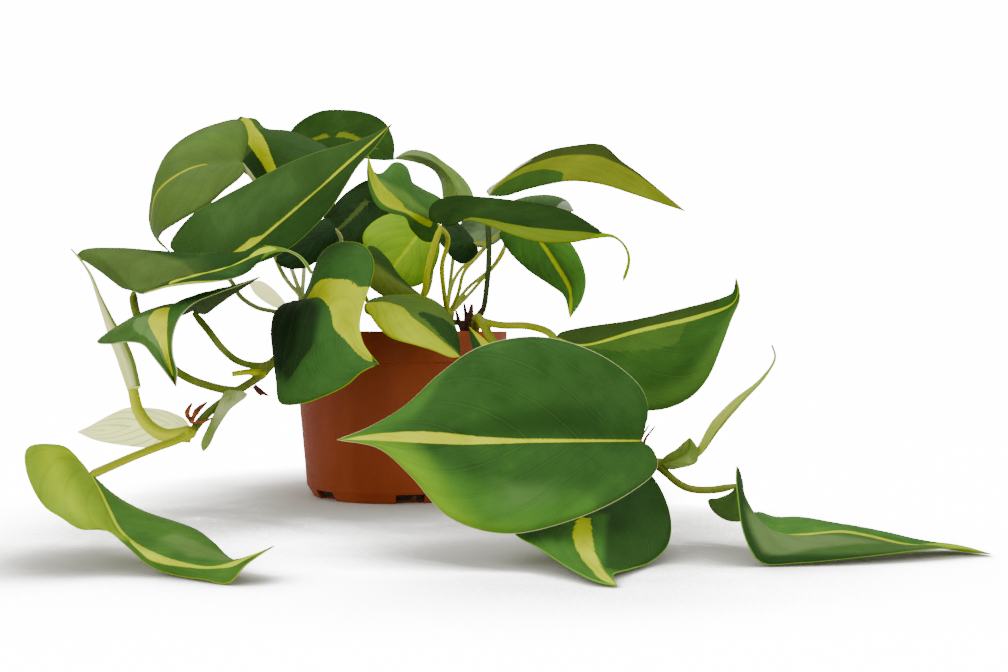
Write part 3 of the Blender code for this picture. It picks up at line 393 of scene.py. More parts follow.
                (451, 316, 602), (457, 332, 594), (460, 347, 586)],
          right=[(366, 308, 600), (371, 317, 590), (380, 329, 580), (392, 338, 574), (416, 345, 570),
                 (435, 351, 571), (450, 357, 574)]),
    Blade("leaf_shade_high",
          rib=[(380, 190, 722), (362, 206, 714), (342, 226, 704), (318, 246, 695)],
          left=[(388, 205, 722), (384, 228, 716), (365, 245, 706), (340, 252, 698)],
          right=[(370, 180, 728), (350, 190, 722), (330, 210, 712), (316, 232, 702)],
          rows=10),
    Blade("leaf_shade_low",
          rib=[(335, 228, 664), (315, 240, 658), (295, 252, 654), (276, 262, 650)],
          left=[(336, 241, 660), (324, 256, 656), (304, 268, 651), (285, 268, 648)],
          right=[(327, 219, 672), (304, 229, 669), (281, 246, 660)], rows=10),
    Blade("leaf_olive",
          rib=[(362, 252, 656), (380, 268, 654), (398, 282, 652), (424, 297, 652)],
          left=[(372, 246, 662), (387, 258, 662), (398, 274, 660), (411, 287, 657)],
          right=[(358, 268, 648), (368, 285, 645), (385, 297, 645), (405, 301, 648)],
          rows=10),
    Blade("leaf_shade_small",
          rib=[(474, 243, 670), (460, 242, 668), (448, 242, 666), (438, 241, 664)],
          left=[(478, 250, 672), (472, 259, 668), (462, 264, 664), (452, 258, 662), (444, 248, 662)],
          right=[(470, 236, 680), (462, 226, 684), (450, 219, 682), (441, 226, 674)],
          rows=10, straight_stalk=True),
    Blade("leaf_grey_back",
          rib=[(500, 228, 712), (485, 231, 710), (470, 233, 708), (455, 236, 706)],
          left=[(502, 238, 704), (486, 247, 698), (468, 245, 697)],
          right=[(497, 215, 720), (478, 213, 724), (462, 222, 716)], rows=8),
    Blade("leaf_tip_front",
          rib=[(500, 385, 560), (488, 360, 567), (478, 342, 574), (469, 327, 580)],
          left=[(490, 384, 562), (478, 364, 568), (472, 345, 575)],
          right=[(512, 376, 562), (502, 358, 568), (486, 341, 576)], rows=8),
]

SHEATHS = [
    Blade("sheath_papery_left",
          rib=[(191, 429, 556), (165, 424, 560), (140, 425, 560), (110, 430, 558), (77, 432, 555)],
          left=[(182, 436, 556), (161, 442, 557), (149, 447, 557), (121, 445, 557), (95, 440, 556)],
          right=[(184, 419, 562), (167, 411, 563), (147, 408, 563), (127, 408, 562), (106, 417, 560),
                 (90, 426, 557)], bulges=(0.12, 0.12), rows=10),
    Blade("sheath_green_left",
          rib=[(237, 391, 582), (221, 413, 563), (210, 434, 562), (203, 452, 562)],
          left=[(247, 394, 582), (229, 411, 565), (217, 429, 563), (209, 446, 562)],
          right=[(226, 391, 577), (217, 408, 566), (209, 425, 563), (201, 444, 562)],
          bulges=(0.1, 0.1), rows=8),
    Blade("sheath_cream",
          rib=[(288, 309, 640), (274, 298, 636), (262, 291, 632), (249, 284, 629)],
          left=[(280, 309, 637), (268, 304, 633), (255, 294, 630)],
          right=[(285, 303, 642), (274, 290, 640), (260, 281, 635)],
          bulges=(0.1, 0.1), rows=6),
    Blade("sheath_right",
          rib=[(662, 463, 486), (676, 459, 484), (688, 451, 483), (690, 437, 482)],
          left=[(664, 457, 485), (676, 449, 483), (685, 441, 482)],
          right=[(667, 469, 485), (681, 468, 482), (697, 462, 480), (697, 447, 480)],
          bulges=(0.1, 0.1), rows=6),
]
BLADE_BY_NAME = {blade.name: blade for blade in BLADES}
print("leaves:", len(BLADES))

# %% [markdown]
# ## The colours of each leaf
# No two leaves of this plant are marked alike. The streaks run with the veins, mostly along the rib, in
# lime, yellow or cream. Each leaf has three greens that noise wanders between, and zones that lie on top,
# one over the other. A zone is a colour, how ragged its edge is in mm, and where it lies: at a share of the
# rib from stalk to tip, it goes from one share of the half width to another. -1 is the left edge, 0 the
# rib, 1 the right edge, and 1.1 is safely past it. The edge of a zone is torn into strokes, as a yellow
# streak's is. With a minus sign the number stands for an even blend that wide, as between two greens.

# %% Leaf looks
class Look:
    """Colours and finish of one leaf.

    greens: three tints of the upper side. zones: as above. margin: colour of the edge line, if any.
    under: colour of the underside. rough: roughness of the upper side. wax: strength of its highlights.
    shine: light that comes through thin tissue. veins: how dark the side veins are, against the usual.
    thread: for a tip drawn out to a thread, the shares of the rib where it starts and is reached, and its
    half width in mm.
    """

    def __init__(self, greens, zones=(), margin=None, under="#547837", rough=0.4, wax=0.04, shine=0.0,
                 veins=1.0, thread=None):
        self.greens, self.zones, self.margin, self.veins = greens, zones, margin, veins
        self.under, self.rough, self.wax, self.shine, self.thread = under, rough, wax, shine, thread


def stripe(colour, ragged, *places):
    """A zone along the rib that is as wide on one side as on the other."""
    return colour, ragged, [(share, -half, half) for share, half in places]


# Some zones below are painted light, not markings: highlights on four leaves and shade on two.
LOOKS = {
    "leaf_front": Look(("#2f5420", "#375d27", "#3f6c29"), [
        ("#4d802f", -6.0, [(0.2, -1.1, -0.8), (0.6, -1.1, -0.45), (0.85, -1.1, -0.25), (1.0, -1.1, -0.2)]),
        ("#87bd23", -10.0, [(0.5, -1.1, -1.05), (0.68, -1.1, -0.55), (0.8, -1.1, -0.35), (0.95, -1.1, -0.2)]),
        # painted shade: this darker green beside the rib on the upper half stands for shade
        ("#2b4d1d", -4.0, [(0.15, 0.1, 0.35), (0.45, 0.05, 0.25), (0.6, 0.05, 0.1)]),
        # painted highlight: this paler green patch on the lower half is a soft sheen put into the colour
        ("#587f40", -5.0, [(0.34, -0.7, -0.58), (0.44, -0.74, -0.5)]),
        ("#47772d", -6.0, [(0.6, 1.0, 1.1), (0.74, 0.4, 1.1), (1.0, 0.1, 1.1)]),
        stripe("#dce700", 0.12, (0.0, 0.018), (0.4, 0.022), (0.52, 0.04), (0.66, 0.085), (0.8, 0.15),
               (0.93, 0.3), (0.99, 0.0))], margin="#f0f4ad"),
    "leaf_under_front": Look(("#3b6827", "#49792e", "#588f32"), [
        ("#305123", -3.0, [(0.0, -1.1, 0.3), (0.5, -1.1, 0.1), (0.8, -1.1, -0.2)]),
        ("#497d30", -2.0, [(0.34, -0.24, -0.06), (0.6, -0.32, -0.1), (0.78, -0.3, -0.15)]),
        ("#d1df00", 0.5, [(0.38, -0.06, 0.08), (0.5, -0.12, 0.14), (0.7, -0.18, 0.22), (0.85, -0.24, 0.36),
                          (0.95, -0.4, 0.7), (1.0, -0.7, 0.8)])], margin="#8cc838"),
    "leaf_floor_right": Look(("#3c6a2a", "#487a2d", "#5c8f31"), [
        ("#46682f", -1.5, [(0.0, 0.03, 1.1), (0.7, 0.03, 1.1), (0.9, 0.4, 1.1), (1.0, 0.9, 1.1)]),
        ("#28461e", -2.0, [(0.0, 0.6, 1.1), (0.4, 0.8, 1.1), (0.8, 0.95, 1.1)]),
        # painted highlight: this greyish green patch on the near half is a streaky sheen put into the colour
        ("#637e47", -2.0, [(0.2, 0.3, 0.8), (0.34, 0.15, 0.85), (0.44, 0.2, 0.7), (0.62, 0.3, 0.4)]),
        ("#9ec506", -2.0, [(0.78, -0.2, 0.2), (0.9, -1.1, 1.1), (1.0, -1.1, 1.1)]),
        stripe("#bfd300", 0.15, (0.0, 0.07), (0.5, 0.07), (0.8, 0.12), (1.0, 0.5))],
        margin="#83af32", wax=0.06),
    "leaf_right": Look(("#31551f", "#385e24", "#426b28"), [
        ("#3b5222", -1.0, [(0.0, -1.1, -0.05), (0.8, -1.1, -0.05)]),
        ("#486b28", 0.8, [(0.12, 0.04, 0.12), (0.35, 0.04, 0.28), (0.6, 0.04, 0.32), (0.66, 0.04, 0.06)]),
        ("#4e762e", -4.0, [(0.0, 0.9, 1.1), (0.4, 0.8, 1.1), (0.9, 0.7, 1.1)]),
        stripe("#bcd100", 0.12, (0.0, 0.045), (0.6, 0.05), (0.9, 0.1), (1.0, 0.25))],
        margin="#85b12d", wax=0.0),
    "leaf_middle": Look(("#263e19", "#2c441c", "#345225"), [
        ("#6b8120", 0.3, [(0.22, 0.6, 1.1), (0.35, 0.2, 1.1), (0.6, 0.0, 1.1), (0.76, -0.2, 1.1),
                          (1.0, -1.1, 1.1)]),
        ("#7c9f06", -1.0, [(0.74, -1.1, 1.1), (0.82, -1.1, 1.1), (1.0, -1.1, 1.1)])],
        wax=0.0, thread=(0.70, 0.80, 0.75)),
    "leaf_top_right": Look(("#6e7b22", "#768220", "#828f21"), [
        ("#404f20", -0.8, [(0.0, -1.1, -0.5), (0.25, -1.1, -0.22), (0.6, -1.1, -0.2), (0.8, -1.1, -0.45),
                           (1.0, -1.1, -0.7)]),
        ("#3c5d23", 0.5, [(0.0, -0.2, 1.1), (0.15, 0.0, 1.1), (0.3, 0.3, 1.1), (0.42, 0.7, 1.1)]),
        ("#c1c398", -0.6, [(0.0, -0.9, -0.3), (0.16, -0.7, -0.4), (0.26, -0.6, -0.5)])], rough=0.45, wax=0.0),
    "leaf_back_small": Look(("#3b5e29", "#466934", "#587d41"), [
        ("#a7b696", -2.0, [(0.78, -1.1, 1.1), (1.0, -1.1, 1.1)])], rough=0.45),
    "leaf_hanging": Look(("#436d2e", "#4c7f30", "#5a9136"), [
        ("#599335", -3.0, [(0.0, -1.1, -0.3), (1.0, -1.1, -0.3)]),
        stripe("#c6d800", 0.25, (0.15, 0.06), (0.5, 0.10), (0.8, 0.15), (0.94, 0.4), (1.0, 0.9))]),
    "leaf_pale_back": Look(("#6c8355", "#78915c", "#a5b385"), [
        ("#729d25", -3.0, [(0.0, -1.1, 1.1), (0.35, -1.1, 0.9), (0.55, -1.1, -0.2), (0.7, -1.1, -0.8)])],
        under="#7a9358", rough=0.5, wax=0.0),
    "leaf_centre": Look(("#3a6228", "#436e2c", "#4d7c31"), [
        ("#678e3b", -2.5, [(0.1, 0.02, 0.2), (0.4, 0.1, 0.3), (0.8, 0.2, 0.4)]),
        ("#b3c600", 0.3, [(0.05, -0.3, -0.05), (0.25, -0.45, 0.0), (0.5, -0.6, 0.15), (0.75, -0.7, 0.3),
                          (0.9, -0.8, 0.6), (1.0, -1.1, 1.1)])]),
    "leaf_lime_back": Look(("#719e25", "#82ac1f", "#98c114"), [
        stripe("#acc800", 0.3, (0.0, 0.05), (0.6, 0.05), (0.9, 0.06))], under="#6d9537"),
    "leaf_top_back": Look(("#284319", "#2f4a1d", "#375623"), [
        ("#707f22", 0.9, [(0.08, -0.02, 0.18), (0.3, -0.1, 0.08), (0.36, 0.02, 0.04)]),
        ("#707f22", 0.9, [(0.42, -0.12, 0.1), (0.7, -0.08, 0.1), (0.82, -0.03, 0.03)])], rough=0.45, wax=0.0),
    "leaf_top_left": Look(("#4c682c", "#546f2d", "#5d7834"), [
        ("#567a29", -6.0, [(0.02, 0.35, 0.7), (0.2, 0.45, 0.75), (0.32, 0.55, 0.65)]),
        ("#30511e", -0.6, [(0.45, 0.9, 1.1), (0.7, 0.86, 1.1), (0.9, 0.8, 1.1)]),
        ("#8bae06", -1.0, [(0.86, -1.1, 1.1), (1.0, -1.1, 1.1)]),
        stripe("#b3b900", 0.1, (0.2, 0.02), (0.7, 0.03), (1.0, 0.2))], under="#5f7d41", rough=0.36, wax=0.05),
    "leaf_striped": Look(("#3d5d2a", "#456629", "#4e722e"), [
        ("#325120", -1.5, [(0.15, -1.1, -0.2), (0.45, -1.1, -0.05), (1.0, -1.1, -0.1)]),
        ("#2c491d", -1.5, [(0.3, 0.12, 0.8), (0.5, 0.1, 0.8), (0.65, 0.05, 0.3)]),
        ("#bcc800", 0.25, [(0.0, -0.32, 0.36), (0.2, -0.2, 0.24), (0.4, -0.12, 0.14), (0.6, -0.08, 0.08)])]),
    "leaf_diagonal": Look(("#325220", "#385824", "#41622c"), [
        ("#436530", -5.0, [(0.1, -0.9, -0.3), (0.5, -0.8, -0.3)]),
        ("#2b4a1b", -1.2, [(0.0, 0.05, 1.1), (1.0, 0.1, 1.1)]),
        stripe("#c6d300", 0.2, (0.0, 0.02), (0.1, 0.03), (0.17, 0.07), (0.22, 0.10), (0.27, 0.03),
               (0.6, 0.025), (1.0, 0.2))], margin="#7b9a3d"),
    "leaf_left": Look(("#28471e", "#2c4a21", "#375e27"), [
        # painted highlight: this grey-olive wash over the foot end is a soft sheen put into the colour
        ("#536b32", -9.0, [(0.0, -1.1, 1.1), (0.14, -1.1, 1.1), (0.32, -0.4, 0.3)]),
        ("#6d9b2a", -1.0, [(0.74, -1.1, 1.1), (0.8, -1.1, 1.1), (1.0, -1.1, 1.1)]),
        ("#ccdb00", 0.15, [(0.3, 0.76, 0.92), (0.38, 0.54, 0.74), (0.46, 0.34, 0.58), (0.54, 0.16, 0.46),
                           (0.62, -0.08, 0.36), (0.7, -0.35, 0.3), (0.76, -0.5, 0.4)]),
        ("#bcd300", -0.4, [(0.12, 0.95, 1.1), (0.4, 0.94, 1.1), (0.5, 0.98, 1.1)])],
        margin="#c8d883", wax=0.01, thread=(0.74, 0.82, 0.85)),
    "leaf_folded": Look(("#385e23", "#436828", "#4d752d"), [
        ("#668b47", 0.9, [(0.35, 0.22, 0.42), (0.55, 0.24, 0.5), (0.9, 0.22, 0.45)]),
        ("#3e6e2b", -1.0, [(0.0, -1.1, -0.05), (0.45, -1.1, -0.1), (0.6, -1.1, -0.2)]),
        ("#dae000", 0.15, [(0.3, -0.02, 0.2), (0.45, -0.06, 0.24), (0.7, -0.12, 0.26), (0.93, -0.2, 0.3)]),
        ("#664d27", -0.3, [(0.965, -1.1, 1.1), (1.0, -1.1, 1.1)])],
        margin="#cbd896", under="#5c5949"),
    "leaf_floor_left": Look(("#3c6426", "#477129", "#55822c"), [
        ("#83a524", -2.0, [(0.0, 0.03, 1.1), (0.38, 0.05, 1.1), (0.45, 0.3, 1.1)]),
        # painted highlight: this pale lime streak on the lower-left lobe is a gloss highlight put into the
        # colour
        ("#abc800", -6.0, [(0.0, 0.55, 0.85), (0.2, 0.5, 0.8), (0.32, 0.5, 0.75)]),
        ("#5d7f3b", -2.5, [(0.5, -0.6, -0.3), (0.66, -0.75, -0.25), (0.78, -1.1, -0.5)]),
        ("#d1e200", 0.2, [(0.4, 0.0, 0.1), (0.47, 0.0, 0.5), (0.56, 0.0, 0.62), (0.64, 0.0, 0.3),
                          (0.7, 0.0, 0.1)]),
        stripe("#c6da00", 0.12, (0.0, 0.03), (0.6, 0.035), (0.8, 0.09), (1.0, 0.6))], margin="#acc700"),
    "leaf_rim_left": Look(("#335c25", "#3c642a", "#436f2f"), [
        # painted shade: these two near-black greens darken the lower-left lobe, which lies in shadow
        ("#203619", -4.0, [(0.0, 0.1, 1.1), (0.35, 0.12, 1.1), (0.55, 0.35, 0.8)]),
        ("#172a12", -3.0, [(0.0, 0.4, 1.1), (0.3, 0.4, 1.1), (0.45, 0.6, 0.9)]),
        ("#c3d100", 0.3, [(0.0, -0.14, 0.02), (0.2, -0.24, 0.03), (0.4, -0.36, 0.04), (0.56, -0.6, 0.1),
                          (0.66, -1.1, 0.08), (0.85, -1.1, 0.02), (0.95, -1.1, 0.1)]),
        ("#806433", 0.5, [(0.42, -0.4, -0.37), (0.5, -0.52, -0.48), (0.56, -0.6, -0.58)])], margin="#acc700"),
    "leaf_rim": Look(("#57782d", "#607d2f", "#6e9032"), [
        ("#315122", 0.9, [(0.5, -0.25, -0.12), (0.62, -0.5, -0.12), (0.75, -0.9, -0.1), (0.85, -1.1, -0.1),
                          (1.0, -1.1, -0.4)]),
        ("#95bf18", -0.5, [(0.0, -1.1, -0.85), (0.5, -1.1, -0.9)]),
        ("#c7d900", 0.25, [(0.0, -0.1, 1.1), (0.35, -0.1, 1.1), (0.5, 0.05, 1.1), (0.75, 0.05, 1.1),
                           (1.0, -0.1, 1.1)])]),
    "leaf_shade_high": Look(("#1d3217", "#27401d", "#324e23"), [
        ("#50642c", 0.9, [(0.2, -0.1, 0.1), (0.7, -0.06, 0.06)])], rough=0.45),
    "leaf_shade_low": Look(("#152a10", "#1d3517", "#26431d"), rough=0.45),
    "leaf_olive": Look(("#596928", "#667729", "#77892c"), [
        ("#345220", -2.0, [(0.0, -1.1, -0.1), (1.0, -1.1, -0.2)])], rough=0.45),
    "leaf_shade_small": Look(("#1d3517", "#26411d", "#304d23"), rough=0.45),
    "leaf_grey_back": Look(("#5f764e", "#6f875a", "#81996c"), under="#6c835f", rough=0.5),
    "leaf_tip_front": Look(("#25441c", "#2c5021", "#365f27"), [
        ("#c7d500", 0.2, [(0.0, 0.1, 1.1), (1.0, 0.1, 1.1)])]),
    "sheath_papery_left": Look(("#d2e283", "#eef798", "#fafaa7"), under="#f5f998", rough=0.55, shine=1.1,
                               veins=5.0),
    "sheath_green_left": Look(("#7b9345", "#abb976", "#c2ce94"), under="#b7c487", rough=0.5, shine=0.3),
    "sheath_cream": Look(("#e6e88e", "#eeef9e", "#f6f6b4"), under="#f0f0a8", rough=0.5, shine=1.3),
    "sheath_right": Look(("#5d7731", "#77913b", "#b0be72"), under="#88a641", rough=0.42),
}
print("leaf looks:", len(LOOKS))

# %% [markdown]
# ## One leaf's surface
# The CAD leaf has a dozen rows. This one has fifty-six, and ten more that fan out round the stalk where its
# foot has lobes. On them lie the groove of the rib, the soft pillows between the side veins and a thin
# edge. The side veins sweep forward and crowd towards the foot, as on the real leaf. Every vertex also
# keeps three numbers, so that the material can follow the leaf instead of space: its share across, how far
# the leaf reaches there in mm, and a count that goes up by one from each side vein to the next. Each zone
# is kept as a distance in mm from its border, positive inside.

# %% Lobes and facing of a leaf
FINE_FAN = 10
FINE_ROWS = 56
FINE_COLUMNS = 12
RIB_START_POINT = 12
SMALLEST_LOBE = 0.08
LARGEST_LOBE = 0.3
FACING_ROUNDS = 3


def rib_and_margin(blade, edge):
    """Smooth curves along a leaf's rib and along one of its edges."""
    rib = smooth_curve([sight(point) for point in blade.rib])
    return rib, smooth_curve([sight(point) for point in [blade.rib[0]] + edge + [blade.rib[-1]]])


def lobe_shares(rib, margin):
    """Shares of the edge at its hindmost place and where it comes level with the rib's foot."""
    ahead = (margin - rib[0]) @ unit(rib[RIB_START_POINT] - rib[0])
    behind = np.flatnonzero(ahead[:len(margin) // 2] < 0.0)
    lobe = min(LARGEST_LOBE, behind[-1] / len(margin)) if len(behind) else 0.0
    lobe = lobe if lobe > SMALLEST_LOBE else 0.0
    return min(np.argmin(ahead[:len(margin) // 2]) / len(margin), lobe), lobe


def coarse_upwards(rib, margin, side, rows):
    """Direction of the upper face along one half, from the same rows as the CAD leaf has."""
    rear, lobe = lobe_shares(rib, margin)
    fan = int(math.ceil(lobe * rows))
    along_rib = np.concatenate((np.zeros(fan), np.linspace(0.0, 1.0, rows + 1)))
    along_edge = np.concatenate((np.linspace(rear, lobe, fan + 1)[:-1], np.linspace(lobe, 1.0, rows + 1)))
    heading = at_shares(unit(np.gradient(rib, axis=0)), along_rib)
    span = at_shares(margin, along_edge) - at_shares(rib, along_rib)
    upwards = unit(np.cross(heading, span) * side)
    upwards[:fan + 1] = upwards[fan + 1]
    for _ in range(FACING_ROUNDS):
        upwards[1:-1] = unit(upwards[:-2] + 2.0 * upwards[1:-1] + upwards[2:])
    return upwards[fan:]


front = BLADE_BY_NAME["leaf_front"]
front_rib, front_edge = rib_and_margin(front, front.left)
print("front leaf: rib in mm", round(length_mm(front_rib), 1), "and share of its edge in the lobe",
      round(lobe_shares(front_rib, front_edge)[1], 2))

# %% Surface of half a leaf
RIB_GROOVE = 0.22
RIB_GROOVE_WIDTH = 1.3
PILLOW = 0.14
PILLOW_START = 4.0
RELIEF_REACH = 6.0
VEINS_PER_SIDE = 6.0
VEIN_SWEEP = 0.5
VEIN_CURVE = 1.1
VEIN_CROWDING = 0.7


def drawn_thin(span, along_rib, start, stop, half_width):
    """The spans from rib to edge, narrowed to a half width in mm between two shares of the rib."""
    slim = np.clip((along_rib - start) / (stop - start), 0.0, 1.0)[:, None]
    width = np.maximum(np.linalg.norm(span, axis=1, keepdims=True), TINY)
    return span * (1.0 - slim) + span * np.minimum(1.0, half_width * MM / width) * slim


def relief(reach, w, phase):
    """Height of the rib's groove and of the pillows between the side veins."""
    out = w * reach[:, None] / MM
    groove = -RIB_GROOVE * np.exp(-(out / RIB_GROOVE_WIDTH) ** 2)
    pillows = PILLOW * np.cos(2.0 * np.pi * (phase - 0.5)) * np.minimum(1.0, out / PILLOW_START)
    return (groove + pillows * np.sin(np.pi * w)) * np.minimum(1.0, reach / (RELIEF_REACH * MM))[:, None] * MM


def half_surface(blade, edge, side, bulge, thread):
    """Points of half a leaf, and at each its share across, reach in mm, share along and vein count."""
    rib, margin = rib_and_margin(blade, edge)
    rear, lobe = lobe_shares(rib, margin)
    body = np.linspace(0.0, 1.0, FINE_ROWS + 1)
    along_rib = np.concatenate((np.zeros(FINE_FAN), body))
    along_edge = np.concatenate((np.linspace(rear, lobe, FINE_FAN + 1)[:-1], lobe + (1.0 - lobe) * body))
    rungs = at_shares(rib, along_rib)
    span = at_shares(margin, along_edge) - rungs
    upwards = unit(at_shares(coarse_upwards(rib, margin, side, blade.rows), along_rib))
    fanned = np.minimum(np.arange(len(span)) / FINE_FAN, 1.0) if lobe else np.ones(len(span))
    if thread:
        span = drawn_thin(span, along_rib, *thread)
    reach = np.linalg.norm(span, axis=1)
    w = np.linspace(0.0, 1.0, FINE_COLUMNS + 1)
    along = np.concatenate((-lobe * np.linspace(1.0, 0.0, FINE_FAN + 1)[:-1], body))
    crowded = np.sign(along) * np.abs(along) ** VEIN_CROWDING
    phase = VEINS_PER_SIDE * (crowded[:, None] - VEIN_SWEEP * w ** VEIN_CURVE)
    height = reach[:, None] * fanned[:, None] * 4.0 * w * (1.0 - w) * bulge + relief(reach, w, phase)
    points = rungs[:, None] + span[:, None] * w[:, None]
    points += upwards[:, None] * height[:, :, None]
    curl = at_shares(margin, w * rear) - rungs[0] - span[0] * w[:, None]
    points += curl[None] * (1.0 - fanned[:, None, None]) ** 2
    return [points, *np.broadcast_arrays(side * -w, reach[:, None] / MM, along[:, None], phase)]


print("rows and columns of half a front leaf:",
      half_surface(front, front.left, 1.0, front.bulges[0], None)[0].shape[:2])

# %% Sheet of a whole leaf
ZONE_END_FALL = 60.0
LEAST_REACH = 1.0


def zone_depth(places, across, along, reach):
    """How far inside a zone each vertex lies, in mm. It falls off steeply past the zone's two ends."""
    shares = [place[0] for place in places]
    start = np.interp(along, shares, [place[1] for place in places])
    end = np.interp(along, shares, [place[2] for place in places])
    depth = np.minimum(across - start, end - across) * np.maximum(reach, LEAST_REACH)
    outside = np.maximum(shares[0] - np.maximum(along, 0.0), along - shares[-1])
    return np.where(outside > 1e-6, np.minimum(depth, -ZONE_END_FALL * outside), depth)


def store(mesh, name, values):
    """Keep one number for each vertex."""
    kept = mesh.attributes.new(name, "FLOAT", "POINT")
    kept.data.foreach_set("value", values.astype(np.float32).reshape(-1))


def leaf_mesh(blade, look, name):
    """The leaf as a sheet that carries what its material needs."""
    halves = [half_surface(blade, edge, side, bulge, look.thread)
              for edge, side, bulge in zip((blade.left, blade.right), (1.0, -1.0), blade.bulges)]
    points, across, reach, along, phase = [
        np.concatenate((left[:, ::-1], right[:, 1:]), axis=1) for left, right in zip(*halves)]
    leaf = laid_grid(name, points)
    mesh = leaf.data
    for kept, values in (("across", across), ("reach", reach), ("phase", phase)):
        store(mesh, kept, values)
    for number, (_, _, places) in enumerate(look.zones):
        store(mesh, "zone_%d" % number, zone_depth(places, across, along, reach))
    length = length_mm(rib_and_margin(blade, blade.left)[0])
    flat = np.stack((across * reach, phase / VEINS_PER_SIDE * length), axis=2).reshape(-1, 2)
    corners = np.empty(len(mesh.loops), dtype=np.int32)
    mesh.loops.foreach_get("vertex_index", corners)
    mesh.uv_layers[0].name = "veins"
    mesh.uv_layers["veins"].data.foreach_set("uv", flat[corners].astype(np.float32).reshape(-1))
    return leaf


# %% [markdown]
# ## Leaf tissue
# A philodendron leaf is smooth and thinly waxed: a satin gloss with soft, wide highlights, not a mirror. On
# four leaves some highlights are painted into the colour as zones as well. The green is never even. It
# wanders in patches and darkens along fine streaks that run with the veins. The same streaks tear the edge
# of a yellow zone into strokes. Each side vein is a faint furrow with a hair-thin pale line in its middle.
# A darker tint along the furrow is painted shade on the leaves; on the papery sheaths the same tint, much
# stronger, draws their green vein lines. The underside is paler and duller. Papery sheaths are so thin
# that light comes through them, and an emission of their own colour stands for that.

# %% Leaf material
WAX_IOR = 1.45
PATCHES_PER_METRE = 55.0  # a patch is 18 mm wide
GRAINS_PER_METRE = 900.0  # a grain of the skin is 1.1 mm, coarser than real, so that it shows
STREAKS_PER_MM = (0.14, 1.1, 1.0)  # a streak is 7 mm long and 0.9 mm wide
STREAK_SHARE = 0.3
ZONE_TINT_SPREAD = 0.15
BRIGHTEST = 0.95
FURROW_TINT, FURROW_SHADE, FURROW_HALF_WIDTH = "#5d7a4a", 0.12, 0.16  # widths in spaces between veins
VEIN_TINT, VEIN_LIGHT, VEIN_HALF_WIDTH = "#a9c070", 0.07, 0.025


def dimmed(code, share):
    """Linear colour of a hex code times a share."""
    return tuple(min(value * share, BRIGHTEST) for value in linear(code)[:3]) + (1.0,)


def add_zones(tree, colour, zones, wander, streak, strength):
    """The colour with each zone laid over it, up to a strength."""
    offset = add_node(tree, "Math", {0: streak, 1: 0.5}, {"operation": "SUBTRACT"})
    for number, (tint, ragged, _) in enumerate(zones):
        depth = add_node(tree, "Attribute", {}, {"attribute_name": "zone_%d" % number}, "Fac")
        half_blend = 0.25 + 0.15 * ragged if ragged > 0.0 else -ragged
        stroke_length = max(6.0 * ragged, 0.6)
        torn = add_node(tree, "Math", {0: offset, 1: stroke_length, 2: depth}, MULTIPLY_ADD)
        darker, lighter = dimmed(tint, 1.0 - ZONE_TINT_SPREAD), dimmed(tint, 1.0 + ZONE_TINT_SPREAD)
        shade = laid_over(tree, darker, lighter, wander, 0.3, 0.75)
        colour = laid_over(tree, colour, shade, torn, -half_blend, half_blend, (0.0, strength))
    return colour


